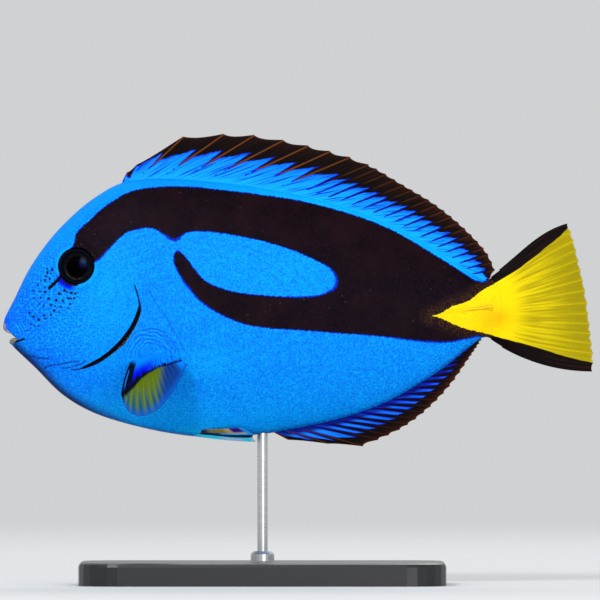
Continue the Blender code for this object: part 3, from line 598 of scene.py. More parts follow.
def drawn_in(points, centre, radius, reach, power=1.6):
    """Moves grid points towards a circle's rim, so that the grid is finest there."""
    off = points - np.array(centre)
    far = np.hypot(off[:, 0], off[:, 1])
    past = far - radius
    near = np.abs(past) < reach
    moved = radius + np.sign(past) * np.abs(past) ** power * reach ** (1 - power)
    scale = np.where(near & (far > 1e-6), moved / np.maximum(far, 1e-6), 1.0)
    return np.array(centre) + off * scale[:, None]


columns, count = side_view.shape[:2]
flank = side_view.reshape(-1, 2)
flank = drawn_in(flank, EYE_CENTRE, SOCKET_RADIUS, 2.0)
for cx, cz, radius in NOSTRILS:
    flank = drawn_in(flank, (cx, cz), radius, 0.35, 1.3)
height = skin_height(flank).reshape(columns, count)
height[:, 0] = height[:, -1] = 0.0
flank = flank.reshape(columns, count, 2)

# Index of each grid point on both flanks. The first and last rows are the keels, which both share.
index = np.arange(columns * count).reshape(columns, count)
other = index + columns * count
other[:, 0], other[:, -1] = index[:, 0], index[:, -1]
points = [np.stack([flank[..., 0], side * height, flank[..., 1]], axis=-1).reshape(-1, 3) for side in (-1, 1)]

# The mouth's lining: from the left jaw's edge to the right one, vaulted into the flesh.
along = np.gradient(flank[0], axis=0)
along /= np.maximum(np.hypot(along[:, 0], along[:, 1]), 1e-9)[:, None]
inwards = np.stack([-along[:, 1], along[:, 0]], axis=1)
lining = []
for step in np.linspace(-1, 1, MOUTH_STEPS + 2)[1:-1]:
    vault = inwards * (MOUTH_VAULT * (1 - step ** 2) * np.clip(height[0] / 1.2, 0, 1))[:, None]
    lining.append(at_depth(flank[0] + vault, step * height[0]))
across = [index[0]]
for number in range(MOUTH_STEPS):
    strip = 2 * columns * count + number * count + np.arange(count)
    strip[0], strip[-1] = index[0, 0], index[0, -1]
    across.append(strip)
across.append(other[0])


def quads(a, b, c, d):
    """Faces from four arrays of corners, without those that have shrunk to nothing."""
    faces = np.stack([a, b, c, d], axis=-1).reshape(-1, 4).tolist()
    faces = [list(dict.fromkeys(face)) for face in faces]
    return [face for face in faces if len(face) > 2]


faces = quads(index[:-1, :-1], index[1:, :-1], index[1:, 1:], index[:-1, 1:])
faces += quads(other[:-1, :-1], other[:-1, 1:], other[1:, 1:], other[1:, :-1])
faces += quads(index[-1, :-1], other[-1, :-1], other[-1, 1:], index[-1, 1:])
for a, b in zip(across[:-1], across[1:]):
    faces += quads(a[:-1], a[1:], b[1:], b[:-1])
skin = mesh_object("skin", np.concatenate(points + lining), faces)

# %% A function that leaves a mesh closed and facing outwards
def tidy(target):
    """Merges double points, drops loose ones and turns every face outwards. Returns the open edges."""
    shape = bmesh.new()
    shape.from_mesh(target.data)
    bmesh.ops.remove_doubles(shape, verts=shape.verts, dist=2e-7)
    bmesh.ops.delete(shape, geom=[v for v in shape.verts if not v.link_faces], context="VERTS")
    bmesh.ops.recalc_face_normals(shape, faces=shape.faces)
    open_edges = sum(1 for edge in shape.edges if len(edge.link_faces) != 2)
    shape.to_mesh(target.data)
    shape.free()
    return open_edges


def joined(target, *others):
    """Puts other objects' meshes into the target's."""
    with bpy.context.temp_override(active_object=target, object=target,
                                   selected_editable_objects=[target, *others]):
        bpy.ops.object.join()
    return target


# %% [markdown]
# ## Where the markings lie
# The fish is azure, with one black mark shaped like a painter's palette and a yellow wedge that
# runs from the tail stalk into the tail fin. Each marking is an outline on the side view. The
# skin's points carry their distance from it, which stays exact between the points of the mesh, so
# the material can draw a crisp border there and fray it a little.

# %% Outlines of the markings
BLACK_MARK = from_photo([
    (66, 262), (68, 254), (71.5, 248.2), (74.2, 245), (75, 240.8), (75.9, 235), (79.6, 230), (84.6, 225),
    (91, 219.4), (100, 211), (112, 202), (130, 192), (160, 187.2), (190, 187), (220, 190), (260, 194.8),
    (300, 201), (340, 211), (385, 227), (420, 246), (460, 271), (478, 281.5), (488, 280),
    (500, 240), (620, 180), (640, 300), (640, 400), (560, 420), (495, 350),    # round behind the tail
    (485, 337), (450, 341.3), (430, 341.5), (380, 336), (340, 333), (300, 330), (260, 327), (240, 322.5),
    (220, 313.5), (200, 300), (190, 288), (180, 274), (174.5, 262), (174.5, 255), (178, 251.5),
    (182, 253.5), (188, 260), (195, 270), (205, 280.5), (220, 288), (240, 293), (280, 296.7), (310, 297),
    (325, 294), (336, 288), (338, 281), (336, 275), (330, 267.5), (320, 262.5), (300, 253), (280, 246),
    (260, 240.5), (240, 236.2), (220, 233), (200, 231.3), (188, 232.5), (182, 235), (175, 239.3),
    (165, 234.5), (155, 229), (145, 228), (135, 230), (126, 233), (120, 238), (108, 250), (94, 262),
])
YELLOW_MARK = from_photo([
    (430, 316.0), (436, 315.0), (441, 313.2), (450, 307.4), (460, 304), (470, 300), (480, 292),
    (490, 286), (500, 280), (520, 268), (540, 252), (560, 236), (567, 229), (585, 215), (640, 230),
    (640, 380), (593, 362.5), (580, 360), (560, 354.5), (540, 348.5), (520, 343), (500, 337.5),
    (480, 332), (460, 327), (450, 322.5), (441, 318.4), (436, 316.8),
])
# Where the indigo seam beside the black is broad: pixel, reach in pixels, extra width in mm.
BROAD_SEAM = [
    ((174, 237), (9, 6), 0.75), ((177, 246), (4, 8), 0.35), ((184, 282), (12, 16), 0.35),
    ((338, 284), (10, 14), 0.8), ((310, 297), (22, 6), 0.25), ((205, 305), (30, 14), 0.2),
    ((100, 258), (16, 10), 0.25), ((440, 341), (40, 5), 0.3),
]


def closed(outline, samples=8):
    """A smooth closed line through the points of an outline."""
    return smooth_line(np.vstack([outline, outline[:1]]), samples)[:-1]


def soft_spot(points, pixel, reach):
    """1 at a pixel of the photograph, fading to 0 over the reach in pixels along x and z."""
    off = (points - from_photo(pixel)) / (np.array(reach) * PIXEL)
    return np.exp(-(off ** 2).sum(axis=1))


# %% [markdown]
# The blue isn't one blue. It is brightest on the cheek, inside the ring of the mark and along the
# back; on the cheek and the back that brightness is painted light from above. The belly and the flank
# below the pectoral fin are lighter too, as painted light where the body faces down. It is deeper, as
# painted shade, behind the gill, on the snout, chin and throat, and darkest, as painted shade, where
# the flank turns under to the belly's keel. Each blue is a soft spot on the skin's points, so one
# passes into the next without an edge.

# %% The blues
AZURE = "#0490f6"
# Some of these blues are painted light and shade: lighter on the cheek, the belly and below the pectoral fin,
# deeper behind the gill and on snout, chin and throat.
BLUES = [
    # colour, middle in the photograph, reach in pixels along x and z, strength
    ("#04a4f8", (112, 285), (34, 48), 1.0),      # cheek
    ("#047cf0", (160, 290), (24, 44), 0.55),     # behind the gill
    ("#049cf6", (250, 265), (95, 32), 1.0),      # inside the ring of the mark
    ("#046cf2", (18, 312), (34, 46), 1.0),       # snout
    ("#0344ee", (5, 322), (6, 9), 0.85),         # the snout's tip
    ("#0456e4", (38, 364), (34, 14), 1.0),       # chin
    ("#0478f8", (72, 392), (56, 28), 0.8),       # throat
    ("#06acff", (130, 414), (70, 18), 0.9),      # below the pectoral fin
    ("#06a8ff", (230, 424), (110, 22), 0.9),     # belly
    ("#04a8fc", (208, 362), (34, 16), 0.9),      # flank behind the pectoral fin
    ("#04a8fc", (300, 275), (40, 20), 0.8),      # the rear of the ring's inside
    ("#12ccff", (202, 433), (24, 6), 1.0),       # where the pelvic fins leave the belly
]
AMBER_SPOT = (496, 318), (16, 10)            # amber at the tail's root: middle and reach in pixels
# The lighter blue along the back is painted light from above.
LIT_BACK_STRIP = ("#0498fa", "#08bcfa")          # along the back, in front and behind
KEEL_SHADE_BLUE = "#033c96"
flat_points = flank.reshape(-1, 2)
flat_x = flat_points[:, 0]
from_back = distance_to(flat_points, BACK)[0]
from_belly = distance_to(flat_points, BELLY)[0]


def mixed(base, *layers):
    """Colours for many points: a base, then layers of hex colour and share laid over each other."""
    colours = np.tile(linear(base), (len(layers[0][1]), 1))
    for colour, share in layers:
        share = np.clip(share, 0, 1)[:, None]
        over = linear(colour) if isinstance(colour, str) else colour
        colours = colours * (1 - share) + np.array(over) * share
    return colours


strip = ramp(from_back, 6.0, 1.0) * ramp(flat_x, 22, 42) * ramp(flat_x, 146, 139)
lit_strip_blues = mixed(LIT_BACK_STRIP[0], (LIT_BACK_STRIP[1], ramp(flat_x, 55, 100)))
# Painted shade: the blue darkens where the flank turns under to the belly's keel.
keel = ramp(from_belly, 1.5, 0.1) * (0.7 + 0.3 * ramp(flat_x, 30, 12)) * ramp(flat_x, 2.2, 4.5)
blues = mixed(AZURE, *[
    (colour, soft_spot(flat_points, pixel, reach) * strength) for colour, pixel, reach, strength in BLUES
], (lit_strip_blues, strip), (KEEL_SHADE_BLUE, keel))
print("blues on", len(blues), "points")

# %% Values on the skin's points
def nearest_of(points, lines):
    """Distance to the nearest of several drawn lines, in mm, at most 2."""
    far = [distance_to(points, line)[0] for line in lines]
    return np.minimum.reduce([np.full(len(points), 2.0), *far])


# How strongly the pores show: most in front of the eye and on the snout, less on the cheek.
face = soft_spot(flat_points, (40, 290), (38, 52)) + 0.75 * soft_spot(flat_points, (75, 335), (52, 38))
pore_share = np.clip(face, 0, 1) * ramp(np.minimum(from_back, from_belly), 0.4, 1.8)
off, side = distance_to(flat_points, GILL)

marks = {
    "black": np.clip(inside(flat_points, closed(BLACK_MARK)), -4, 4),
    "yellow": np.clip(inside(flat_points, closed(YELLOW_MARK)), -4, 4),
    "seam": 0.14 + sum(wide * soft_spot(flat_points, pixel, reach) for pixel, reach, wide in BROAD_SEAM),
    "slit": np.clip(inside(flat_points, GILL_SLIT), -2, 2),
    "cover": np.clip(off * np.where(side < 0, 1, -1), -2, 2),
    "eye_line": nearest_of(flat_points, EYE_LINES),
    "groove": distance_to(flat_points, EYE_GROOVE)[0],
    "crease": nearest_of(flat_points, CREASES),
    "ridge": nearest_of(flat_points, RIDGES),
    "chin_line": nearest_of(flat_points, CHIN_LINES),
    "mouth_line": np.minimum(distance_to(flat_points, MOUTH_LINE)[0],
                             distance_to(flat_points, JAW_LINE)[0] + 0.16),
    "pores": pore_share,
    "calm": np.maximum(pore_share, ramp(from_back, 4.5, 1.5)),
    "shade": 0.96 * ramp(from_belly, 4.6, 0.1) ** 2 * ramp(flat_x, 2.4, 3.6) * ramp(flat_x, 44, 20),
    "amber": 0.7 * soft_spot(flat_points, *AMBER_SPOT) + 0.25 * soft_spot(flat_points, (466, 310), (14, 3)),
    "azure": blues,
}
# The folds over the pectoral fin's root are finer than the mesh. A distance with a sign stays exact.
fold_lines = [*ROOT_FOLDS, DIAGONAL_FOLD]
for number, line in enumerate(fold_lines):
    off, side = distance_to(flat_points, line)
    marks[f"fold_{number}"] = np.clip(off * np.where(side < 0, -1, 1), -3, 3)
ring = np.hypot(*(flat_points - FOLD_CENTRE).T)
over = ramp(flat_points[:, 1] - FOLD_CENTRE[1], -1.5, 1.0)
marks["rings"] = ramp(ring, 2.6, 4.4) * ramp(ring, 9.4, 7.8) * over
for name, values in marks.items():
    lining_values = np.concatenate([values[:count]] * MOUTH_STEPS)
    store(skin, name, np.concatenate([values, values, lining_values]))
deep = np.concatenate([np.zeros(2 * len(flat_points)), np.ones(MOUTH_STEPS * count)])
store(skin, "mouth", deep)
print("skin open edges", tidy(skin))

# %% [markdown]
# ## The skin's material
# Scales half a millimetre across cover the skin like fine leather, each a small dome that catches
# the light. The blue comes from reflecting plates in the skin, not from dye: it is even and very
# pure. The black is a brown-black with a speckle of lighter scales. On the face, pores with bright
# rims lie among the scales. A thin varnish shines softly, so roughness is middling and the
# reflection weak, and bluish like the plates that make it.

# %% Freckles of the face
# Dark spots between mouth and eye: their places in the photograph, for each of three radii in mm.
FRECKLES = {
    0.40: [(45.3, 291.7), (48.8, 298.6), (56.6, 300.1), (54.7, 310.5), (39.0, 319.7), (64.6, 290.4),
           (71.7, 293.0), (60.1, 293.9), (47.6, 272.6), (52.3, 269.6)],
    0.32: [(40.9, 298), (44, 305.6), (51.3, 305), (61.0, 306.8), (33.6, 316.4), (44.5, 315.5),
           (46.5, 276.3), (51.2, 314.9), (68.6, 298.3), (74.6, 298.4), (75.5, 293.5), (62.8, 300.2),
           (29.5, 313), (45.7, 318.3), (70.4, 303.8), (59.0, 293.6), (45.2, 280.3), (50.3, 278.8)],
    0.24: [(34.4, 298), (39.7, 304.1), (40.2, 291.5), (51.4, 273.6), (47.4, 268.9), (63.9, 302.2),
           (67.2, 291.6), (55.4, 306.1), (78.2, 297), (39.3, 326.2), (34.8, 325.7), (31.3, 324.1),
           (27.4, 330.4), (45.2, 287), (71.5, 298.8), (59.8, 312.5), (68.8, 308.2), (38.3, 285.0),
           (34.0, 291.0), (41.5, 281.0)],
}
SCALE = 0.45                 # mm across one scale
PORE_SPACING = 0.92          # mm from one pore of the face to the next
UNDER_EYE = from_photo((65.0, 283.5))        # middle of the deep blue in front below the eye
UNDER_SHADE = from_photo((70.0, 285.0))      # middle of the dark shade at the socket there
print("freckles:", sum(len(spots) for spots in FRECKLES.values()))

# %% Functions for layers of paint
def painted_over(tree, under, colour, by, start, end, most=1.0, weight=None, smooth=False):
    """Lays a colour over another: none of it where the value is at its start, the most at its end."""
    share = node(tree, "ShaderNodeMapRange", {0: by, 1: start, 2: end, 3: 0.0, 4: most},
                 interpolation_type="SMOOTHSTEP" if smooth else "LINEAR")
    if weight is not None:
        share = node(tree, "ShaderNodeMath", {0: share, 1: weight}, operation="MULTIPLY")
    return node(tree, "ShaderNodeMix", {0: share, 6: under, 7: colour}, data_type="RGBA")


def fish_places(tree):
    """A point's place in mm from the snout's tip, whole and flattened to the side view."""
    metres = node(tree, "ShaderNodeTexCoord").outputs["Object"]
    where = node(tree, "ShaderNodeVectorMath", {0: metres, 1: (1 / MM,) * 3, 2: tuple(-SNOUT)},
                 operation="MULTIPLY_ADD")
    return where, node(tree, "ShaderNodeVectorMath", {0: where, 1: (1.0, 0.0, 1.0)}, operation="MULTIPLY")


# %% The skin's finish: what its layers follow
# Skin under a thin satin varnish: the scales break up the shine, and only their tops glint.
skin_finish, tree, shader = material(
    "varnished_scaly_skin", Specular_IOR_Level=0.08, Specular_Tint="#a8c8ff", Roughness=0.5,
)
where, side = fish_places(tree)
parts = node(tree, "ShaderNodeSeparateXYZ", {0: where})
upright = node(tree, "ShaderNodeCombineXYZ", {0: parts.outputs["X"], 1: parts.outputs["Z"]})
value = {
    name: node(tree, "ShaderNodeAttribute", attribute_name=name).outputs["Fac"]
    for name in ("mouth", *marks) if name != "azure"
}
scales = node(tree, "ShaderNodeTexVoronoi", {"Vector": where, "Scale": 1 / SCALE, "Randomness": 0.7})
pores = node(tree, "ShaderNodeTexVoronoi", {"Vector": upright, "Scale": 1 / PORE_SPACING, "Randomness": 0.8},
             voronoi_dimensions="2D")
each_scale = node(tree, "ShaderNodeSeparateColor", {0: scales.outputs["Color"]}).outputs[0]
fray, cloud, blots, bent = (
    node(tree, "ShaderNodeTexNoise", {"Vector": where, "Scale": 1 / size, "Detail": detail})
    for size, detail in ((0.7, 1.0), (9.0, 3.0), (0.5, 1.0), (3.0, 1.0))
)
from_eye, from_folds, under_eye, under_shade = (
    node(tree, "ShaderNodeVectorMath", {0: side, 1: (x, 0.0, z)}, operation="DISTANCE")
    for x, z in (EYE_CENTRE, FOLD_CENTRE, UNDER_EYE, UNDER_SHADE)
)
print("values on the skin's points:", len(value))

# %% The skin's blue
# Clouds of a deeper blue, dark joints between the scales and a few bright scales. On the face the
# scales are calmer, and a bright net with a dark pore in each mesh lies over them.
# A layer's row tells what it follows, where that starts and ends, its most, a weight and its colour.
scaly = node(tree, "ShaderNodeMapRange", {0: value["calm"], 1: 0.0, 2: 1.0, 3: 1.0, 4: 0.45})
blue = node(tree, "ShaderNodeAttribute", attribute_name="azure")
for by, start, end, most, weight, shade in (
    (cloud, 0.5, 0.8, 0.25, None, "#0464e8"),
    (scales, 0.28, 0.68, 0.62, scaly, "#0250d4"),
    (each_scale, 0.50, 1.0, 0.55, scaly, "#08b4ff"),
    (pores, 0.50, 0.66, 0.38, value["pores"], "#0ab0ff"),
    (pores, 0.30, 0.12, 0.80, value["pores"], "#0234d8"),
):
    blue = painted_over(tree, blue, shade, by, start, end, most, weight)
# Under the chin and the throat the skin turns away from the light and darkens smoothly.
blue = node(tree, "ShaderNodeMix", {0: value["shade"], 6: blue, 7: "#02184e"}, data_type="RGBA")

# %% Folds of the skin
# The dark lines are painted shade in creases and the bright ones painted light on ridges. Above the
# pectoral fin they lie in rings round its root, painted shade in the troughs and painted light on the
# crests between.
folds = 3.0
for number in range(len(fold_lines)):
    far = node(tree, "ShaderNodeMath", {0: value[f"fold_{number}"]}, operation="ABSOLUTE")
    folds = node(tree, "ShaderNodeMath", {0: far, 1: folds}, operation="MINIMUM")
bent = node(tree, "ShaderNodeMath", {0: bent, 1: 13.0}, operation="MULTIPLY")
turns = node(tree, "ShaderNodeMath", {0: from_folds, 1: 2 * math.pi / FOLD_SPACING, 2: bent},
             operation="MULTIPLY_ADD")
wave = node(tree, "ShaderNodeMath", {0: turns}, operation="SINE")
for by, start, end, most, weight, shade in (
    (wave, 0.10, 0.90, 0.40, value["rings"], "#0440dc"),
    (wave, -0.20, -0.90, 0.40, value["rings"], "#0cb0ff"),
    (value["crease"], 0.26, 0.05, 0.50, None, "#0340cc"),
    (value["ridge"], 0.30, 0.06, 0.30, None, "#14b0ff"),
    (folds, 0.24, 0.10, 0.60, None, "#0444cc"),
    (value["chin_line"], 0.32, 0.08, 0.80, None, "#02146c"),
):
    blue = painted_over(tree, blue, shade, by, start, end, most, weight)

# The socket's rim is bright all round and deep blue in front below.
blue = painted_over(tree, blue, "#0cacff", from_eye, 6.9, 6.0, 0.4, smooth=True)
near = node(tree, "ShaderNodeMapRange", {0: from_eye, 1: 8.4, 2: 6.8}, interpolation_type="SMOOTHSTEP")
blue = painted_over(tree, blue, "#0214f0", under_eye, 4.2, 1.8, weight=near, smooth=True)

# %% The palette-shaped mark with its indigo seam
# The black is uneven and browner towards the tail, with a few grey scales. Beside the yellow wedge
# every black scale has a golden middle.
fray_mm = node(tree, "ShaderNodeMapRange", {0: fray, 1: 0.2, 2: 0.8, 3: -0.22, 4: 0.22}, clamp=False)
black = node(tree, "ShaderNodeMath", {0: value["black"], 1: fray_mm}, operation="ADD")
seams = node(tree, "ShaderNodeMath", {0: black, 1: value["seam"]}, operation="DIVIDE")
colour = painted_over(tree, blue, "#0408b4", seams, -1.7, -0.4, 0.95, smooth=True)
few = node(tree, "ShaderNodeMapRange", {0: parts.outputs["X"], 1: 42.0, 2: 26.0, 3: 0.9975, 4: 0.990})
few = node(tree, "ShaderNodeMath", {0: each_scale, 1: few}, operation="SUBTRACT")
near = node(tree, "ShaderNodeMapRange", {0: value["yellow"], 1: -3.8, 2: -0.2, 3: 0.0, 4: 0.75})
dark = "#0c0103"
for by, start, end, most, weight, shade in (
    (each_scale, 0.2, 1.0, 1.0, None, "#1a070b"),
    (cloud, 0.42, 0.66, 0.55, None, "#200c0c"),
    (value["yellow"], -4.0, -0.5, 0.6, None, "#2c1610"),
    (few, 0.0, 0.002, 0.35, None, "#4a3c40"),
    (scales, 0.42, 0.20, 1.0, near, "#6a4a10"),
):
    dark = painted_over(tree, dark, shade, by, start, end, most, weight)
colour = painted_over(tree, colour, dark, black, -0.02, 0.20, smooth=True)

# %% The yellow wedge and the freckles
yellow = node(tree, "ShaderNodeMath", {0: value["yellow"], 1: fray_mm}, operation="ADD")
gold = painted_over(tree, "#f8d200", "#fee200", each_scale, 0.2, 0.9)
gold = node(tree, "ShaderNodeMix", {0: value["amber"], 6: gold, 7: "#f4ae00"}, data_type="RGBA")
colour = painted_over(tree, colour, gold, yellow, -0.10, 0.14, smooth=True)

# The distance to the nearest freckle of each size, made uneven by noise.
uneven = node(tree, "ShaderNodeMapRange", {0: blots, 1: 0.2, 2: 0.8, 3: -0.14, 4: 0.14}, clamp=False)
darkest = 0.0
for radius, spots in FRECKLES.items():
    nearest = 1000.0
    for x, z in from_photo(spots):
        far = node(tree, "ShaderNodeVectorMath", {0: side, 1: (x, 0.0, z)}, operation="DISTANCE")
        nearest = node(tree, "ShaderNodeMath", {0: far, 1: nearest}, operation="MINIMUM")
    nearest = node(tree, "ShaderNodeMath", {0: nearest, 1: uneven}, operation="ADD")
    spot = node(tree, "ShaderNodeMapRange", {0: nearest, 1: radius + 0.12, 2: radius - 0.06})
    darkest = node(tree, "ShaderNodeMath", {0: spot, 1: darkest}, operation="MAXIMUM")
colour = node(tree, "ShaderNodeMix", {0: darkest, 6: colour, 7: "#080a2c"}, data_type="RGBA")

# %% Openings and dark lines, and the shine of the scales
# The socket's painted shade in front below, the socket, then lines, groove, mouth and gill slit. The
# dark of the mouth's and jaw's lines is painted shade in the gape, and the slit's black is painted shade
# inside the opening. The slit is mottled grey on its rear side, where the gills' edge shows.
near = node(tree, "ShaderNodeMapRange", {0: under_shade, 1: 3.2, 2: 2.2}, interpolation_type="SMOOTHSTEP")
colour = painted_over(tree, colour, "#180a18", from_eye, 6.30, 5.95, weight=near, smooth=True)
colour = painted_over(tree, colour, "#050409", from_eye, 5.72, 5.50, smooth=True)
groove = node(tree, "ShaderNodeMath", {0: uneven, 1: 2.0, 2: value["groove"]}, operation="MULTIPLY_ADD")
high_up = node(tree, "ShaderNodeMapRange", {0: parts.outputs["Z"], 1: -8.6, 2: -5.6, 3: 0.1, 4: 1.0})
mottled = painted_over(tree, "#06060c", "#6a6270", blots, 0.40, 0.66)
gills = painted_over(tree, "#06050c", mottled, value["cover"], -0.15, -0.40, weight=high_up, smooth=True)
for by, start, end, shade in (
    (value["eye_line"], 0.26, 0.08, "#06082c"),
    (groove, 0.66, 0.44, "#0c0408"),
    (value["mouth_line"], 0.44, 0.20, "#160a0c"),
    (value["slit"], -0.12, 0.05, gills),
):
    colour = painted_over(tree, colour, shade, by, start, end, smooth=True)
colour = painted_over(tree, colour, "#3c2010", groove, 0.20, -0.05, 0.5)
colour = node(tree, "ShaderNodeMix", {0: value["mouth"], 6: colour, 7: "#3a1c22"}, data_type="RGBA")

rough = node(tree, "ShaderNodeMapRange", {0: scales, 1: 0.0, 2: 0.8, 3: 0.42, 4: 0.62})
bump = node(tree, "ShaderNodeBump", {"Strength": 0.5, "Distance": 0.07 * MM, "Height": scales}, invert=True)
wire(tree, shader, {"Base Color": colour, "Roughness": rough, "Normal": bump})
finished(skin, skin_finish, "skin_blue", "head", "torso", "tail_stalk")

# %% [markdown]
# ## Lips and tail spines
# The lips are thin cushions on the edges of the two jaws, blue-grey above and bone-grey below. Each
# is swept along its jaw's edge, round the front of the mouth. The tail spine is a curved blade as
# sharp as a scalpel. At rest it lies in its slot with its point forward. Both are lines of points
# with a width at each, so the sweep makes them too.

# %% The lips
LIPS = {
    # name: share of the jaw's edge it covers, inset along x and z in mm, half its thickness, two tones
    "upper": (0.62, (0.50, 0.34), 0.66, "#686c88", "#9498b0"),
    "lower": (0.95, (0.62, 0.42), 0.92, "#5c5a54", "#908e88"),
}
jaw_points = at_depth(flank[0], height[0])
corner = int(np.argmax(jaw_points[:, 0]))
edges = {"upper": jaw_points[:corner + 1], "lower": jaw_points[:corner - 1:-1]}
# Wet skin without scales under varnish: a little glossier than the flank, and finely wrinkled.
for name, (covered, inset, girth, darker, lighter) in LIPS.items():
    finish, tree, shader = material("varnished_lip_" + name, Roughness=0.4, Specular_IOR_Level=0.15)
    metres = node(tree, "ShaderNodeTexCoord").outputs["Object"]
    folds = node(tree, "ShaderNodeTexNoise", {"Vector": metres, "Scale": 1 / (0.7 * MM), "Detail": 3.0})
    tone = painted_over(tree, darker, lighter, folds, 0.35, 0.65)
    bump = node(tree, "ShaderNodeBump", {"Strength": 0.4, "Distance": 0.06 * MM, "Height": folds})
    wire(tree, shader, {"Base Color": tone, "Normal": bump})
    run = np.linspace(0, 1, 26)
    edge = evenly(edges[name], covered * run)
    edge[:, [0, 2]] += np.array(inset) * (1 - run[:, None]) ** 0.7
    edge[:, 1] = half_thickness(edge[:, 0], edge[:, 2]) * 0.94
    line = np.concatenate([edge[:0:-1], edge * (1, -1, 1)])
    taper = np.concatenate([run[:0:-1], run])
    lip = swept("lip_" + name, [line], [girth * (1 - 0.8 * taper ** 2)], 12)
    print("open edges", tidy(lip))
    finished(lip, finish, "skin_blue")

# %% The tail spines
SPINE_LINE = [(149.0, 4.75), (147.4, 4.75), (145.4, 4.6), (143.4, 4.35), (141.6, 4.05), (140.3, 3.85)]
SPINE_GIRTH = (0.95, 0.10)   # mm, half the spine's thickness at its root and at its point
# Varnished bone, yellow as the skin round it, with a fine grain along the blade.
finish, tree, shader = material("varnished_spine", Roughness=0.35, Specular_IOR_Level=0.15)
metres = node(tree, "ShaderNodeTexCoord").outputs["Object"]
grain = node(tree, "ShaderNodeVectorMath", {0: metres, 1: (300.0, 2500.0, 2500.0)}, operation="MULTIPLY")
grain = node(tree, "ShaderNodeTexNoise", {"Vector": grain, "Scale": 1.0, "Detail": 2.0})
wire(tree, shader, {"Base Color": painted_over(tree, "#dcae04", "#fadc20", grain, 0.35, 0.65)})
line = evenly(smooth_line(SPINE_LINE), np.linspace(0, 1, 24))
level = skin_height(line)
girth = SPINE_GIRTH[0] + (SPINE_GIRTH[1] - SPINE_GIRTH[0]) * np.linspace(0, 1, 24) ** 0.8
for side, name in ((-1, "left"), (1, "right")):
    spine = swept("spine_" + name, [at_depth(line, side * (level + 0.15))], [girth], 12)
    tidy(spine)
    finished(spine, finish, "fin_yellow", "tail_spine_" + name)

# %% [markdown]
# ## Fins
# A fin is a thin membrane stretched over rays. The first rays of the back and anal fins are
# pointed spines, the others are soft and branch twice towards the edge. Each fin is one closed
# blade, thick at its root and thin at its edge, with the rays swept over it by the node tree. A
# place on a fin has two coordinates, the ray's number and the share of the way from root to tip.
# The paint is worked out from these: an inner and an outer colour, and how far a point lies
# inside the border between them.

# %% The middle surface of a fin
def fin_shape(roots, tips, notch, bows=None, skew=0.9, lean=1.0):
    """A fin from its rays' roots and tips (x, y, z), the notches between the tips, and the rays' bows.

    A skew below 1 puts a notch nearer to the ray before it, a lean above 1 puts a bow nearer to the tip.
    """
    return {
        "roots": np.asarray(roots, float), "tips": np.asarray(tips, float),
        "notch": np.broadcast_to(notch, len(roots)).astype(float),
        "bows": np.zeros((len(roots), 3)) if bows is None else np.asarray(bows, float), "skew": skew,
        "lean": np.broadcast_to(lean, len(roots)).astype(float),
    }


def fin_at(fin, ray, reach):
    """The points of a fin's middle surface at these ray numbers and shares of the way to the tip."""
    numbers = np.arange(len(fin["roots"]))
    root, tip, bow = (
        np.stack([np.interp(ray, numbers, fin[key][:, axis]) for axis in range(3)], axis=-1)
        for key in ("roots", "tips", "bows")
    )
    between = np.sin(math.pi * np.clip(ray - np.floor(ray), 0, 1) ** fin["skew"])
    length = np.linalg.norm(tip - root, axis=-1)
    top = 1 - np.interp(ray, numbers, fin["notch"]) * between / np.maximum(length, 1e-6)
    share = np.maximum(reach * top, 0)
    lean = np.interp(ray, numbers, fin["lean"])
    bulge = share ** lean * (1 - share) * (1 + lean) ** (1 + lean) / lean ** lean
    return root + (tip - root) * share[..., None] + bow * bulge[..., None]


def fin_measures(fin, ray, reach):
    """The ray's length and the gap between two rays, in mm, and the share of the gap, at points of a fin."""
    numbers = np.arange(len(fin["roots"]))
    first = np.clip(np.floor(ray), 0, len(numbers) - 2)
    run = fin["tips"] - fin["roots"]
    length = np.interp(ray, numbers, np.linalg.norm(run, axis=1))
    a, b = fin_at(fin, first, reach), fin_at(fin, first + 1, reach)
    ahead, behind = np.minimum(reach + 0.02, 1.0), np.maximum(reach - 0.02, 0.0)
    along = fin_at(fin, first, ahead) - fin_at(fin, first, behind)
    along /= np.maximum(np.linalg.norm(along, axis=-1), 1e-9)[..., None]
    gap = b - a
    gap = np.linalg.norm(gap - (gap * along).sum(axis=-1)[..., None] * along, axis=-1)
    return length, gap, ray - first


# %% The blade and the rays of a fin
def blade(name, fin, per_gap, rows, root_half, half, sheath, edge_half):
    """The closed membrane of a fin. Its thickness fades from the root's to its own over the sheath."""
    ray = np.linspace(0, len(fin["roots"]) - 1, (len(fin["roots"]) - 1) * per_gap + 1)
    reach = np.linspace(0, 1, rows)
    u, s = np.meshgrid(ray, reach, indexing="ij")
    middle = fin_at(fin, u, s)
    normal = np.cross(np.gradient(middle, axis=0), np.gradient(middle, axis=1))
    normal /= np.maximum(np.linalg.norm(normal, axis=2), 1e-9)[..., None]
    root = np.interp(u, np.arange(len(fin["roots"])), np.broadcast_to(root_half, len(fin["roots"])))
    fade = np.clip(1 - s / sheath, 0, 1) ** 1.5
    thick = (root * fade + half * (1 - fade)) * (1 - ramp(s, 0.7, 1.0)) + edge_half * ramp(s, 0.7, 1.0)
    points = np.concatenate([(middle + normal * thick[..., None]).reshape(-1, 3),
                             (middle - normal * thick[..., None]).reshape(-1, 3)])
    near = np.arange(u.size).reshape(u.shape)
    far = near + u.size
    faces = quads(near[:-1, :-1], near[1:, :-1], near[1:, 1:], near[:-1, 1:])
    faces += quads(far[:-1, :-1], far[:-1, 1:], far[1:, 1:], far[1:, :-1])
    rim = np.concatenate([near[:, 0], near[-1, 1:], near[-2::-1, -1], near[0, -2:0:-1]])
    rim = np.append(rim, rim[0])
    faces += quads(rim[:-1], rim[1:], rim[1:] + u.size, rim[:-1] + u.size)
    made = mesh_object(name, points, faces)
    store(made, "ray", np.tile(u.ravel(), 2))
    store(made, "reach", np.tile(s.ravel(), 2))
    return made


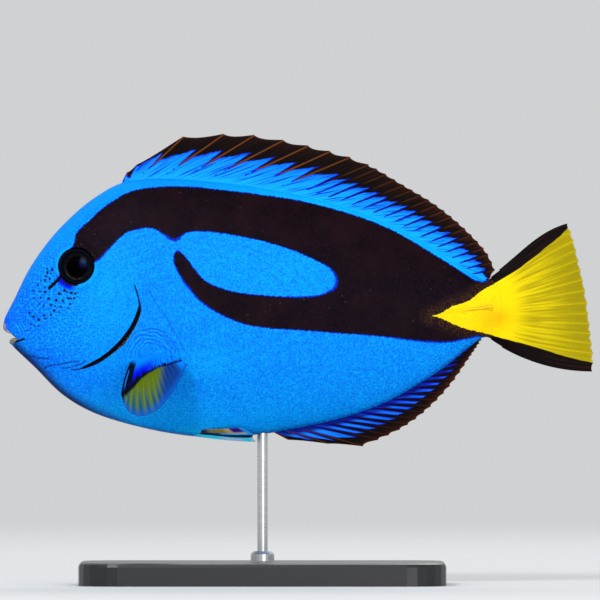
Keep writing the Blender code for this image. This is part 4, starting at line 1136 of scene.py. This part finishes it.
def ray_lines(fin, spines, fork, girth, start):
    """Lines of a fin's rays with their girths, ray numbers and shares. Soft rays branch at the forks."""
    lines, girths, numbers, shares = [], [], [], []

    def add(ray, reach, thick):
        lines.append(fin_at(fin, ray, reach))
        girths.append(thick)
        numbers.append(ray)
        shares.append(reach)

    last = len(fin["roots"]) - 1
    for number in range(last + 1):
        if number < spines:
            reach = np.linspace(start, 1.0, 16)
            add(np.full(16, float(number)), reach, girth[0] * (1 - 0.86 * reach ** 1.3))
            continue
        reach = np.linspace(start, fork[0], 10)
        add(np.full(10, float(number)), reach, girth[1] * (1 - 0.45 * reach / fork[0]))
        for a in (-1, 1):
            reach = np.linspace(fork[0], fork[1], 8)
            spread = a * 0.19 * (reach - fork[0]) / (1 - fork[0])
            add(np.clip(number + spread, 0, last), reach, girth[1] * np.linspace(0.48, 0.34, 8))
            reach = np.linspace(fork[1], 1.0, 8)
            spread = a * 0.19 * (reach - fork[0]) / (1 - fork[0])
            for b in (-1, 1):
                twig = b * 0.10 * (reach - fork[1]) / (1 - fork[1])
                add(np.clip(number + (spread + twig), 0, last), reach, girth[1] * np.linspace(0.32, 0.16, 8))
    return lines, girths, numbers, shares


def build_fin(name, fin, paint, finish, slot, nodes, spines=0, fork=(0.45, 0.75), girth=(0.34, 0.30),
              per_gap=12, rows=44, root_half=0.6, half=0.15, sheath=0.3, edge_half=0.06, start=0.05, side=0):
    """One whole fin: blade and rays, with the values that a paint function of ray, reach and point gives."""
    made = blade(name, fin, per_gap, rows, root_half, half, sheath, edge_half)
    store(made, "tube", np.zeros(len(made.data.vertices)))
    lines, girths, numbers, shares = ray_lines(fin, spines, fork, girth, start)
    # A ray's number lies just behind it, so that the whole tube takes the colour of the stripe there.
    numbers = [number + 0.02 for number in numbers]
    carried = {"ray": numbers, "reach": shares, "tube": [np.ones(len(line)) for line in lines]}
    rays = swept(name + "_rays", lines, girths, 8, carried)
    joined(made, rays)
    if side > 0:
        for vert in made.data.vertices:
            vert.co.y = -vert.co.y
        made.data.flip_normals()
    ray, reach, tube = (read(made, key).astype(float) for key in ("ray", "reach", "tube"))
    middles = (fin["roots"] + fin["tips"]) / 2
    steps = np.linalg.norm(np.diff(middles, axis=0), axis=1)
    store(made, "lane", np.interp(ray, np.arange(len(middles)), np.concatenate([[0.0], np.cumsum(steps)])))
    store(made, "gap", fin_measures(fin, ray, reach)[1])
    for key, values in paint(ray, reach, points_of(made), tube).items():
        store(made, key, values)
    print("open edges", tidy(made))
    finished(made, finish, slot, *nodes)
    return made


# %% [markdown]
# The membrane is painted in streaks that run along the rays, as the pigment does in the living
# fin. One material serves all fins: it reads the two colours and the border from the points, frays
# the border along the streaks and lines it with a thin seam. Behind each ray runs a stripe and in
# front of it a shade, which the material places by the ray's number, so that they stay crisp
# between the points of the mesh. On the dorsal and anal fins the stripe is the ray's brown with
# painted light on its lit side, and the shade is a painted shadow beside the ray. The tail and the
# paired fins give stripe and shade about one colour, a line along each ray.

# %% A fin's material
def fin_material(name, seam, streak, mottle, stripe, shade, fray_size, lane_width=0.6, bend=2.0,
                 along=2.0, stripe_width=0.5, seam_width=0.45):
    """A thin varnished membrane. Streaks cross its inner colour, mottling its outer one.

    Seam, streak, mottle, stripe and shade are colours, the sizes are in mm. The bend makes the streaks
    leave the body at a lower angle than the rays, and along is how often they change towards the tip.
    """
    made, tree, shader = material(name, Roughness=0.5, Specular_IOR_Level=0.05)
    value = {
        name: node(tree, "ShaderNodeAttribute", attribute_name=name).outputs["Fac"]
        for name in ("ray", "reach", "lane", "gap", "border", "ragged", "streak", "stripe", "mottling")
    }
    inner = node(tree, "ShaderNodeAttribute", attribute_name="inner")
    outer = node(tree, "ShaderNodeAttribute", attribute_name="outer")
    rest = node(tree, "ShaderNodeMath", {0: 1.0, 1: value["reach"]}, operation="SUBTRACT")
    rest = node(tree, "ShaderNodeMath", {0: rest, 1: rest}, operation="MULTIPLY")
    rest = node(tree, "ShaderNodeMath", {0: rest, 1: bend}, operation="MULTIPLY")
    turns = node(tree, "ShaderNodeMath", {0: value["lane"], 1: 1 / lane_width, 2: rest},
                 operation="MULTIPLY_ADD")
    run = node(tree, "ShaderNodeMath", {0: value["reach"], 1: along}, operation="MULTIPLY")
    lanes = node(tree, "ShaderNodeCombineXYZ", {0: turns, 1: run})
    lane = node(tree, "ShaderNodeTexNoise", {"Vector": lanes, "Scale": 1.0, "Detail": 2.0})
    metres = node(tree, "ShaderNodeTexCoord").outputs["Object"]
    fine = node(tree, "ShaderNodeTexNoise", {"Vector": metres, "Scale": 1 / (0.35 * MM), "Detail": 2.0})

    # The two paints, with the frayed border between them.
    fray = node(tree, "ShaderNodeMapRange", {0: lane, 1: 0.0, 2: 1.0, 3: -fray_size / 2, 4: fray_size / 2})
    fray = node(tree, "ShaderNodeMath", {0: fray, 1: value["ragged"]}, operation="MULTIPLY")
    border = node(tree, "ShaderNodeMath", {0: value["border"], 1: fray}, operation="ADD")
    inner = painted_over(tree, inner, streak, lane, 0.50, 0.60, weight=value["streak"])
    inner = painted_over(tree, inner, seam, border, seam_width, seam_width / 4, smooth=True)
    outer = painted_over(tree, outer, mottle, lane, 0.42, 0.56, weight=value["mottling"])

    # The stripe behind each ray and the shade in front of it. On the dorsal and anal fins the stripe is
    # the ray's brown with painted light on its lit side, and the shade a painted shadow.
    between = node(tree, "ShaderNodeMath", {0: value["ray"]}, operation="FRACT")
    behind = node(tree, "ShaderNodeMath", {0: between, 1: value["gap"]}, operation="MULTIPLY")
    ahead = node(tree, "ShaderNodeMath", {0: value["gap"], 1: behind}, operation="SUBTRACT")
    for far, colour in ((ahead, shade), (behind, stripe)):
        outer = painted_over(tree, outer, colour, far, stripe_width, stripe_width * 0.55,
                             weight=value["stripe"])
    colour = painted_over(tree, outer, inner, border, -0.07, 0.07, smooth=True)
    colour = painted_over(tree, colour, "#000000", fine, 0.3, 0.7, 0.10)
    height = node(tree, "ShaderNodeMath", {0: lane, 1: fine}, operation="ADD")
    bump = node(tree, "ShaderNodeBump", {"Strength": 0.3, "Distance": 0.08 * MM, "Height": height})
    wire(tree, shader, {"Base Color": colour, "Normal": bump})
    return made


# %% Rays of the fins along the back and behind the belly
DORSAL_KNOTS = [
    # number of the ray, its root's x, then its tip's x and z, in mm
    (0, 35.8, 37.6, 46.1), (1, 37.4, 40.5, 48.4), (2, 39.4, 54.7, 57.0), (3, 46.5, 67.1, 57.8),
    (4, 53.2, 76.4, 57.5), (5, 59.9, 85.3, 56.0), (6, 66.9, 92.9, 54.3), (7, 74.3, 99.6, 52.6),
    (8, 80.4, 105.7, 50.8), (9, 87.6, 111.4, 48.5), (13, 102.7, 122.2, 42.2), (17, 116.4, 132.2, 36.1),
    (21, 127.6, 140.9, 28.9), (25, 137.2, 148.0, 21.0), (27, 141.6, 150.1, 16.2),
]
DORSAL_SPINES, DORSAL_RAYS = 9, 28
ANAL_KNOTS = [
    (0, 81.6, 86.9, -35.7), (1, 84.0, 99.0, -36.9), (2, 87.6, 109.7, -37.7), (3, 91.4, 114.4, -35.7),
    (5, 98.8, 121.0, -32.6), (8, 110.5, 128.4, -27.4), (12, 123.2, 136.3, -19.3), (16, 134.2, 142.2, -10.9),
    (20, 142.6, 145.4, -6.2),
]
ANAL_SPINES, ANAL_RAYS = 3, 21
ROOT_DEPTH = 1.0             # mm that a fin's root lies inside the body


def median_rays(knots, line, count, side, end):
    """Roots and tips of the rays of a fin in the mid-plane, side +1 above the body and -1 below.

    The end is the root and the tip where the membrane stops behind the last ray.
    """
    table = np.array(knots)
    numbers = np.arange(count)
    root_x = np.interp(numbers, table[:, 0], table[:, 1])
    tips = smooth_line(table[:, [2, 3]], 60)
    at = [float(np.argmin(np.linalg.norm(tips - row[2:4], axis=1))) for row in table]
    tips = tips[np.round(np.interp(numbers, table[:, 0], at)).astype(int)]
    tips = np.vstack([tips, end[1]])
    root_x = np.append(root_x, end[0])
    root_z = np.interp(root_x, line[:, 0], line[:, 1]) - side * ROOT_DEPTH
    return at_depth(np.stack([root_x, root_z], axis=1), 0.0), at_depth(tips, 0.0)


def streaked(fin, spines, line, shape, colours):
    """Paint of a median fin: blue tongues between the rays, dark wedges along these, and a dark margin.

    The shape gives, for the spines and then for the soft rays: where the wedges start, how far a tongue
    reaches right behind a ray and before the next one, and how wide a wedge is behind and before its ray.
    """
    def paint(ray, reach, points, tube):
        length, gap, share = fin_measures(fin, ray, reach)
        soft = ramp(ray, spines - 1.5, spines + 0.5)
        rear = ramp(ray, spines, len(fin["roots"]) - 1)
        first = colours["lead"] * ramp(ray, 2.0, 1.9)
        start, low, high, behind, ahead = (a + (b - a) * soft for a, b in zip(*shape))
        high = high + colours["longer"] * rear ** 2
        low = low + (0.92 - low) * first
        behind, ahead = (wide * (1 + colours["narrow"] * rear) for wide in (behind, ahead))
        edge = low + (high - low) * share ** 0.8
        opened = np.clip((reach - start) / (high - start), -1, 1.2)
        opened = np.sign(opened) * np.abs(opened) ** colours["taper"]
        sides = np.minimum(share * gap - behind * opened * (1 - first),
                           (1 - share) * gap - ahead * opened)
        sides = sides + 4 * np.maximum(-opened, 0)
        top = (edge - reach) * length * 0.7
        border = np.minimum(top, sides)
        base = distance_to(points[:, [0, 2]], line)[0]
        # The base colour along the root is painted light on the dorsal fin, like the back's, and painted
        # shade on the anal fin.
        inner = mixed(colours["blue"], (colours["deep"], ramp(reach, 0.25, 0.65)),
                      (colours["rear"], rear ** 0.6 * ramp(reach, 0.0, 0.3)),
                      (colours["tip"], ramp(top, 2.2, 0.4) * 0.7),
                      (colours["base"], ramp(base, *colours["base_reach"])))
        outer = mixed(colours["margin"], (colours["brown"], (0.25 + 0.75 * rear) * ramp(reach, high, 1.0)),
                      (colours["rim"], ramp(reach, 0.985, 1.0) * 0.55))
        return {
            "inner": inner, "outer": outer, "border": np.clip(border, -3, 3),
            "ragged": 0.22 + 0.78 * ramp(sides - top, -0.2, 0.5),
            "streak": colours["streaks"] * (1 - 0.4 * rear) * ramp(reach, 0.02, 0.2),
            "mottling": 0.9 * ramp(reach, 1.0, 0.9),
            "stripe": (1 - soft) * ramp(reach, start, start + 0.08) + 0.30 * soft * ramp(reach, 0.6, 0.8),
        }
    return paint


# %% The dorsal fin
roots, tips = median_rays(DORSAL_KNOTS, BACK, DORSAL_RAYS, 1, (146.4, (148.6, 13.9)))
numbers = np.arange(DORSAL_RAYS + 1)
notches = np.interp(numbers, [0, 2, 3, 8, 10, 27], [0.5, 1.0, 1.2, 1.0, 0.5, 0.4])
dorsal = fin_shape(roots, tips, notches)
finish = fin_material("dorsal_fin_membrane", "#0208d8", "#0238c8", "#050001", "#6a3814", "#0c0302", 3.2,
                      lane_width=0.55, bend=11.0, stripe_width=0.50, seam_width=0.24)
# Its base colour along the root continues the painted light of the back.
colours = {
    "blue": "#04a0fa", "deep": "#048cfa", "rear": "#04a4fa", "tip": "#0464f8", "base": "#06acfa",
    "base_reach": (3.0, 0.8), "margin": "#0e0302", "brown": "#3c1406", "rim": "#5a4c46", "streaks": 1.0,
    "longer": 0.10, "narrow": 0.0, "taper": 1.0, "lead": 1.0,
}
shape = ((0.32, 0.48, 0.75, 0.90, 1.30), (0.20, 0.50, 0.67, 0.28, 0.42))
paint = streaked(dorsal, DORSAL_SPINES, BACK, shape, colours)
build_fin("dorsal_fin_skin", dorsal, paint, finish, "fin_blue", ["dorsal_fin"], DORSAL_SPINES,
          per_gap=14, rows=60)

# %% The anal fin
roots, tips = median_rays(ANAL_KNOTS, BELLY, ANAL_RAYS, -1, (145.2, (145.9, -5.4)))
numbers = np.arange(ANAL_RAYS + 1)
notches = np.interp(numbers, [0, 1, 2, 3, 5, 20], [0.4, 0.9, 1.1, 0.9, 0.7, 0.5])
anal = fin_shape(roots, tips, notches)
finish = fin_material("anal_fin_membrane", "#0206b8", "#0440d0", "#050001", "#4c220a", "#030001", 1.6,
                      bend=5.0, stripe_width=0.40, seam_width=0.28)
# Its base colour is painted shade along the fin's root.
colours = {
    "blue": "#0488fa", "deep": "#0484fa", "rear": "#041ce0", "tip": "#0474fa", "base": "#020a5c",
    "base_reach": (2.4, 1.0), "margin": "#080101", "brown": "#541e06", "rim": "#5a4030", "streaks": 0.7,
    "longer": 0.0, "narrow": 0.35, "taper": 0.55, "lead": 0.0,
}
shape = ((0.10, 0.52, 0.86, 0.50, 0.60), (0.10, 0.64, 0.77, 0.50, 0.54))
paint = streaked(anal, ANAL_SPINES, BELLY, shape, colours)
build_fin("anal_fin_skin", anal, paint, finish, "fin_blue", ["anal_fin"], ANAL_SPINES)

# %% The tail fin
TAIL_RAYS = 16
TAIL_TIPS = [
    (172.1, 30.4), (173.5, 27.6), (175.0, 21.8), (177.4, 11.3), (178.7, 2.8), (179.6, -5.8),
    (180.2, -11.4), (179.7, -14.8),
]
TAIL_BOW = (1.5, 2.5)        # mm, of the uppermost and of the lowest ray
TAIL_INSET = 0.6             # mm that the rays start in front of the stalk's end
shares = np.linspace(0, 1, TAIL_RAYS)
turn = 1 - 2 * shares
roots = evenly(TAIL_END, shares)
root_half = np.maximum(1.12 * half_thickness(roots[:, 0], roots[:, 1]), 0.3)
roots = roots - np.array([TAIL_INSET, 0.0])
tips = evenly(smooth_line(TAIL_TIPS), 0.5 - 0.5 * np.sign(turn) * np.abs(turn) ** 0.92)
along = tips - roots
outward = np.stack([-along[:, 1], along[:, 0]], axis=1) / np.linalg.norm(along, axis=1)[:, None]
bow = outward * (np.where(turn > 0, *TAIL_BOW) * np.sign(turn) * np.abs(turn) ** 3)[:, None]
caudal = fin_shape(at_depth(roots, 0.0), at_depth(tips, 0.0), notch=0.38, bows=at_depth(bow, 0.0),
                   skew=1.0, lean=np.where(turn > 0, 2.0, 1.0))


def tail_paint(ray, reach, points, tube):
    """Yellow that turns to olive between the rays, and a black lobe above and below."""
    border = -np.clip(inside(points[:, [0, 2]], closed(YELLOW_MARK)), -4, 4)
    share = fin_measures(caudal, ray, reach)[2]
    between = 1 - np.abs(2 * share - 1)
    lobes = np.abs(ray / (TAIL_RAYS - 1) * 2 - 1)
    outer = mixed("#fce004", ("#f4b400", 0.7 * soft_spot(points[:, [0, 2]], *AMBER_SPOT)),
                  ("#e4cc04", ramp(reach, 0.10, 0.45)), ("#a69604", ramp(reach, 0.42, 0.95)),
                  ("#cbb604", ramp(lobes, 0.35, 0.8) * ramp(reach, 0.1, 0.5) * 0.5),
                  ("#7c760a", ramp(between, 0.1, 0.6) * ramp(reach, 0.40, 0.95) * 0.30 * (1 - tube)),
                  ("#dcd8c0", ramp(reach, 0.985, 1.0) * 0.9))
    inner = mixed("#0a0304", ("#2a1a1a", ramp(reach, 0.985, 1.0)))
    streaks = 0.75 * ramp(reach, 0.08, 0.4)
    return {"inner": inner, "outer": outer, "border": border, "ragged": np.ones(len(ray)), "streak": streaks,
            "mottling": streaks, "stripe": 0.4 * ramp(reach, 0.35, 0.8)}


finish = fin_material("tail_fin_membrane", "#1c0c04", "#28120a", "#a08e04", "#dcc804", "#ccb804", 0.9,
                      bend=0.0, along=1.2, stripe_width=0.24)
build_fin("tail_fin_skin", caudal, tail_paint, finish, "fin_yellow", ["caudal_fin"], fork=(0.36, 0.66),
          girth=(0.4, 0.30), per_gap=14, rows=64, root_half=root_half, half=0.2, sheath=0.55, start=0.12)

# %% [markdown]
# ## The paired fins
# The pectoral fin stands out from the flank and down. From the side it is a fan with a blue lobe at
# its root, black in front and along the lobe's edge, then olive-yellow rays that turn deep blue at
# the rear. The pelvic fin is a narrow blade folded back along the belly.

# %% The pectoral fins
PECTORAL_RAYS = 16
PECTORAL_ROOT = [(39.4, -11.4), (44.0, -10.2), (48.6, -9.6), (52.4, -10.2)]
PECTORAL_TIPS = [
    # x, z and reach from the mid-plane
    (36.1, -21.6, 28.0), (37.7, -26.2, 31.5), (41.0, -28.4, 33.0), (46.0, -27.2, 32.0),
    (50.3, -23.2, 28.0), (53.6, -18.2, 22.5), (56.2, -12.8, 16.0),
]
ROOT_SUNK = 1.6              # mm that a paired fin's root lies inside the body
PECTORAL_BOW = (-1.2, -1.6, 0.9)             # mm along x, y and z, in the middle of a ray
LOBE_EDGE = from_photo([
    (115, 396), (125, 390), (133, 383), (140, 376), (150, 371), (160, 366), (170, 363.5), (184, 359.5),
])
shares = np.linspace(0, 1, PECTORAL_RAYS)
roots = evenly(smooth_line(PECTORAL_ROOT), shares)
depth = half_thickness(roots[:, 0], roots[:, 1]) - ROOT_SUNK
tips = evenly(smooth_line(PECTORAL_TIPS), shares)
bow = np.tile(PECTORAL_BOW, (PECTORAL_RAYS, 1))
bow[:, 0] *= 0.25 + 0.75 * ramp(np.arange(PECTORAL_RAYS), 0, 5)      # the front rays are straighter
pectoral = fin_shape(at_depth(roots, -depth), at_depth(tips, -tips[:, 2]), notch=0.15, bows=bow, skew=1.0)


def pectoral_paint(ray, reach, points, tube):
    """A blue lobe, a black band along its edge and in front, then olive rays on clear blue membrane."""
    flat = points[:, [0, 2]]
    off, side = distance_to(flat, LOBE_EDGE)
    border = off * np.where(side > 0, 1, -1)
    wide = 0.35 + 1.5 * ramp(flat[:, 0], 47, 38)
    front = ramp(ray, 2.6, 2.0) * ramp(reach, 0.84, 0.76)
    band = np.maximum(ramp(-border, wide, wide * 0.6), front)
    rear = ramp(ray + 6 * reach, 11.0, 14.5)
    share = fin_measures(pectoral, ray, reach)[2]
    between = 1 - np.abs(2 * share - 1)
    inner = mixed("#0490fa", ("#0206e8", ramp(border, 4.4, 1.2) * ramp(flat[:, 0], 49, 43)),
                  ("#030309", ramp(ray, 2.5 + 1.3 * reach, 1.8 + 1.3 * reach) * ramp(reach, 0.05, 0.2)))
    outer = mixed("#5a7000", ("#0a5478", ramp(between, 0.2, 0.8) * ramp(reach, 0.55, 0.90)),
                  ("#02388c", rear * 0.95),
                  ("#0a1c5c", rear * ramp(between, 0.6, 0.9) * ramp(reach, 0.9, 0.6)),
                  ("#0484f4", ramp(ray, 12.8, 14.6)),
                  ("#0458c4", ramp(reach, 0.84, 1.0) * 0.85), ("#030309", band))
    # The front edge is black, with a thin blue line of painted highlight along it.
    line = ramp(ray, 0.35, 0.55) * ramp(ray, 1.0, 0.8) * ramp(reach, 0.30, 0.40) * ramp(reach, 0.85, 0.70)
    edge = mixed("#030309", ("#1870cc", line))
    edge_share = (ramp(ray, 1.30, 1.05) * ramp(reach, 0.05, 0.2))[:, None]
    inner, outer = (layer * (1 - edge_share) + edge * edge_share for layer in (inner, outer))
    clear = (1 - rear) ** 2 * (1 - band) * ramp(ray, 1.0, 1.3)
    return {"inner": inner, "outer": outer, "border": border, "ragged": np.ones(len(ray)),
            "streak": 0.7 * ramp(border, 3.5, 1.0) * ramp(ray, 2.4, 3.2),
            "mottling": 0.30 * ramp(reach, 0.4, 0.8) * (1 - band) * (1 - rear),
            "stripe": 0.45 * clear * ramp(reach, 0.94, 0.78) * ramp(reach, 0.35, 0.6)}


finish = fin_material("pectoral_fin_membrane", "#02026c", "#0408c8", "#0c5068", "#748804", "#5a7000", 4.5,
                      bend=0.0, stripe_width=0.50, seam_width=0.60)
for side, name in ((-1, "left"), (1, "right")):
    build_fin("pectoral_fin_skin_" + name, pectoral, pectoral_paint, finish, "fin_yellow",
              ["pectoral_fin_" + name], fork=(0.5, 0.78), girth=(0.3, 0.26), per_gap=8, rows=56, half=0.12,
              start=0.02, side=side)

# %% The pelvic fins
PELVIC_ROOTS = [(56.2, -33.9), (56.8, -33.4), (57.4, -32.9), (58.0, -32.4)]
PELVIC_TIPS = [(77.0, -36.2), (76.0, -35.2), (76.2, -33.9), (72.8, -31.9)]
PELVIC_OUT = (2.6, 5.4)      # mm that the first and the last ray's tip stand out from the mid-plane
PELVIC_BOW = (0.0, -1.1, -0.4)
roots, tips = np.array(PELVIC_ROOTS), np.array(PELVIC_TIPS)
depth = half_thickness(roots[:, 0], roots[:, 1]) - ROOT_SUNK
out = np.linspace(*PELVIC_OUT, len(tips))
pelvic = fin_shape(at_depth(roots, -depth), at_depth(tips, -out), notch=0.1,
                   bows=np.tile(PELVIC_BOW, (len(roots), 1)), skew=1.0)


def pelvic_paint(ray, reach, points, tube):
    """From below: a pale blue strip, lightened with painted light where it faces down, a black one, a thin
    blue one, and an olive one with a violet end.
    """
    pearl = ramp(reach, 0.40, 0.60) * ramp(reach, 0.88, 0.76) * ramp(ray, 1.2, 0.6)
    inner = mixed("#34dcff", ("#b0d0ff", pearl), ("#0490f0", ramp(reach, 0.18, 0.05)),
                  ("#080204", ramp(ray, 1.05, 1.25) * ramp(reach, 0.10, 0.18)),
                  ("#2a98ec", ramp(ray, 1.80, 1.90) * ramp(reach, 0.42, 0.52)),
                  ("#341404", ramp(ray, 1.9, 2.1) * ramp(reach, 0.12, 0.22) * ramp(reach, 0.50, 0.40)),
                  ("#84740c", ramp(ray, 2.1, 2.3) * ramp(reach, 0.22, 0.34)),
                  ("#a89460", ramp(ray, 2.05, 2.2) * ramp(reach, 0.56, 0.66)),
                  ("#2c0a70", ramp(ray, 2.25, 2.45) * ramp(reach, 0.70, 0.76)),
                  ("#1c84d0", ramp(ray, 1.9, 2.1) * ramp(reach, 0.90, 0.95)),
                  ("#c8bca8", ramp(reach, 0.95, 1.0) * ramp(ray, 1.5, 1.2) * 0.8))
    plain = np.ones(len(ray))
    return {"inner": inner, "outer": inner, "border": 2.5 * plain, "ragged": plain, "streak": 0.3 * plain,
            "mottling": 0 * plain, "stripe": 0 * plain}


finish = fin_material("pelvic_fin_membrane", "#04049c", "#0a70c8", "#0a80d8", "#8c7c10", "#8c7c10", 0.3)
for side, name in ((-1, "left"), (1, "right")):
    build_fin("pelvic_fin_skin_" + name, pelvic, pelvic_paint, finish, "fin_blue", ["pelvic_fin_" + name],
              spines=1, per_gap=10, rows=50, sheath=0.35, start=0.02, side=side)

# %% [markdown]
# ## Eyes
# A museum's fish eye is a dome of glass painted from behind. The pupil is large and black, round
# it runs a thin bronze ring that is brightest below, and the iris outside it is nearly black. The
# dome stands a little out of its socket and lies in the plane of the cheek.

# %% The eyes
EYE_RADIUS = 5.35
EYE_DOME = 1.5               # mm, height of the dome from its foot
EYE_SUNK = 0.25              # mm that the foot lies below the plane of the cheek
EYE_EDGE = 0.985             # share of the dome's radius at which it is cut off, just above the foot
EYE_DEPTH = 1.6              # mm from that edge back to the flat rear
PUPIL_CENTRE = from_photo((77.6, 266.7))
# The blue sheen over the pupil is a painted reflection.
BLUE_SHEEN_SPOT = from_photo((84.5, 262.5))        # where a breath of blue lies over the pupil
RINGS, SPOKES = 40, 96


def eye_piece(name, side):
    """A closed lens in the socket, as a polar grid in front and a flat back."""
    spin = np.linspace(0, 2 * math.pi, SPOKES, endpoint=False)
    reach = np.sin(np.linspace(0, math.pi / 2, RINGS + 1))[1:]
    rise = EYE_DOME * np.sqrt(np.maximum(1 - (reach * EYE_EDGE) ** 2, 0)) - EYE_SUNK
    r, a = np.meshgrid(reach * EYE_RADIUS, spin, indexing="ij")
    x = EYE_CENTRE[0] + r * np.cos(a)
    z = EYE_CENTRE[1] + r * np.sin(a)
    out = eye_plane(x, z) + rise[:, None]
    front = np.stack([x, side * out, z], axis=-1).reshape(-1, 3)
    level = eye_plane(*(np.array([c]) for c in EYE_CENTRE))[0]
    tip = (EYE_CENTRE[0], side * (level + EYE_DOME - EYE_SUNK), EYE_CENTRE[1])
    back = np.stack([x[-1], side * (out[-1] - EYE_DEPTH), z[-1]], axis=-1)
    points = np.vstack([front, back, [tip]])
    ring = np.arange(RINGS * SPOKES).reshape(RINGS, SPOKES)
    ring = np.hstack([ring, ring[:, :1]])
    rear = np.append(np.arange(SPOKES) + RINGS * SPOKES, RINGS * SPOKES)
    middle = len(points) - 1
    faces = quads(ring[:-1, :-1], ring[1:, :-1], ring[1:, 1:], ring[:-1, 1:])
    faces += quads(ring[-1, :-1], ring[-1, 1:], rear[1:], rear[:-1])
    faces += [[int(b), int(a), middle] for a, b in zip(ring[0, :-1], ring[0, 1:])]
    faces.append([int(v) for v in rear[:-1]])
    return mesh_object(name, points, faces)


# %% The eyes' finish
# Glass over paint: a sharp, dim reflection, under it a black pupil, a thin bronze ring, a nearly black
# iris and a fine blue-grey line at its edge, which is a painted reflection. A breath of blue lies over
# the pupil's corner, a painted reflection too.
finish, tree, shader = material("painted_glass_eye", Roughness=0.12, Specular_IOR_Level=0.010)
where, side = fish_places(tree)
below_pupil = PUPIL_CENTRE - np.array([1.6, 3.2])
far, rim, sheen, below = (
    node(tree, "ShaderNodeVectorMath", {0: side, 1: (x, 0.0, z)}, operation="DISTANCE")
    for x, z in (PUPIL_CENTRE, EYE_CENTRE, BLUE_SHEEN_SPOT, below_pupil)
)
mottle = node(tree, "ShaderNodeTexNoise", {"Vector": where, "Scale": 1 / 0.6, "Detail": 3.0})
bronze = node(tree, "ShaderNodeMapRange", {0: below, 1: 3.6, 2: 1.0, 3: 0.15, 4: 1.0})
bronze = painted_over(tree, "#08070c", "#3a302c", mottle, 0.40, 0.62, weight=bronze)
colour = painted_over(tree, "#010102", "#0a2258", sheen, 2.2, 0.2, 0.6, smooth=True)
for by, start, end, shade in (
    (far, 3.10, 3.22, "#0a080c"),
    (far, 3.42, 3.62, bronze),
    (far, 3.95, 4.15, "#04050e"),
    # The fine blue-grey line at the iris's edge is a painted reflection.
    (rim, 4.74, 4.90, "#0e1424"),
    (rim, 4.98, 5.10, "#030308"),
):
    colour = painted_over(tree, colour, shade, by, start, end, smooth=True)
wire(tree, shader, {"Base Color": colour})
for side, name in ((-1, "left"), (1, "right")):
    piece = eye_piece("eye_piece_" + name, side)
    tidy(piece)
    finished(piece, finish, "eye", "eye_" + name)

# %% [markdown]
# ## The stand
# A lacquered base and a steel rod hold the fish up at rest, level as it swims. Their solids already
# have the right shape, so they stay and only get their finishes.

# %% The stand's finishes
# Satin lacquer: near black, an even low shine, and a breath of dust and unevenness.
finish, tree, shader = material("satin_black_lacquer")
metres = node(tree, "ShaderNodeTexCoord").outputs["Object"]
dust = node(tree, "ShaderNodeTexNoise", {"Vector": metres, "Scale": 1 / (0.4 * MM), "Detail": 4.0})
tone = painted_over(tree, "#101012", "#1a1a1d", dust, 0.3, 0.7)
rough = node(tree, "ShaderNodeMapRange", {0: dust, 1: 0.3, 2: 0.7, 3: 0.30, 4: 0.40})
bump = node(tree, "ShaderNodeBump", {"Strength": 0.15, "Distance": 0.03 * MM, "Height": dust})
wire(tree, shader, {"Base Color": tone, "Roughness": rough, "Normal": bump})
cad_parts["stand_base"].data.materials[0] = finish

# Turned and brushed steel: rings a tenth of a millimetre apart stretch each reflection. Real ones are
# finer, these are as coarse as they need to be to show.
finish, tree, shader = material("brushed_steel", Metallic=1.0)
metres = node(tree, "ShaderNodeTexCoord").outputs["Object"]
rings = node(tree, "ShaderNodeVectorMath", {0: metres, 1: (150.0, 150.0, 9000.0)}, operation="MULTIPLY")
lathe = node(tree, "ShaderNodeTexNoise", {"Vector": rings, "Scale": 1.0, "Detail": 2.0})
tone = painted_over(tree, "#b4b6b9", "#d4d5d7", lathe, 0.3, 0.7)
rough = node(tree, "ShaderNodeMapRange", {0: lathe, 1: 0.3, 2: 0.7, 3: 0.24, 4: 0.4})
wire(tree, shader, {"Base Color": tone, "Roughness": rough})
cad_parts["stand_rod"].data.materials[0] = finish
print("stand:", ", ".join(name for name in sorted(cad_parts) if name.startswith("stand")))

# %% [markdown]
# ## The CAD model's size
# The corners of the box round the CAD model, rounded to a thousandth of a millimetre.

# %% Sizes and the end
size = [[round(v, 6) for v in corner] for corner in cad_box]
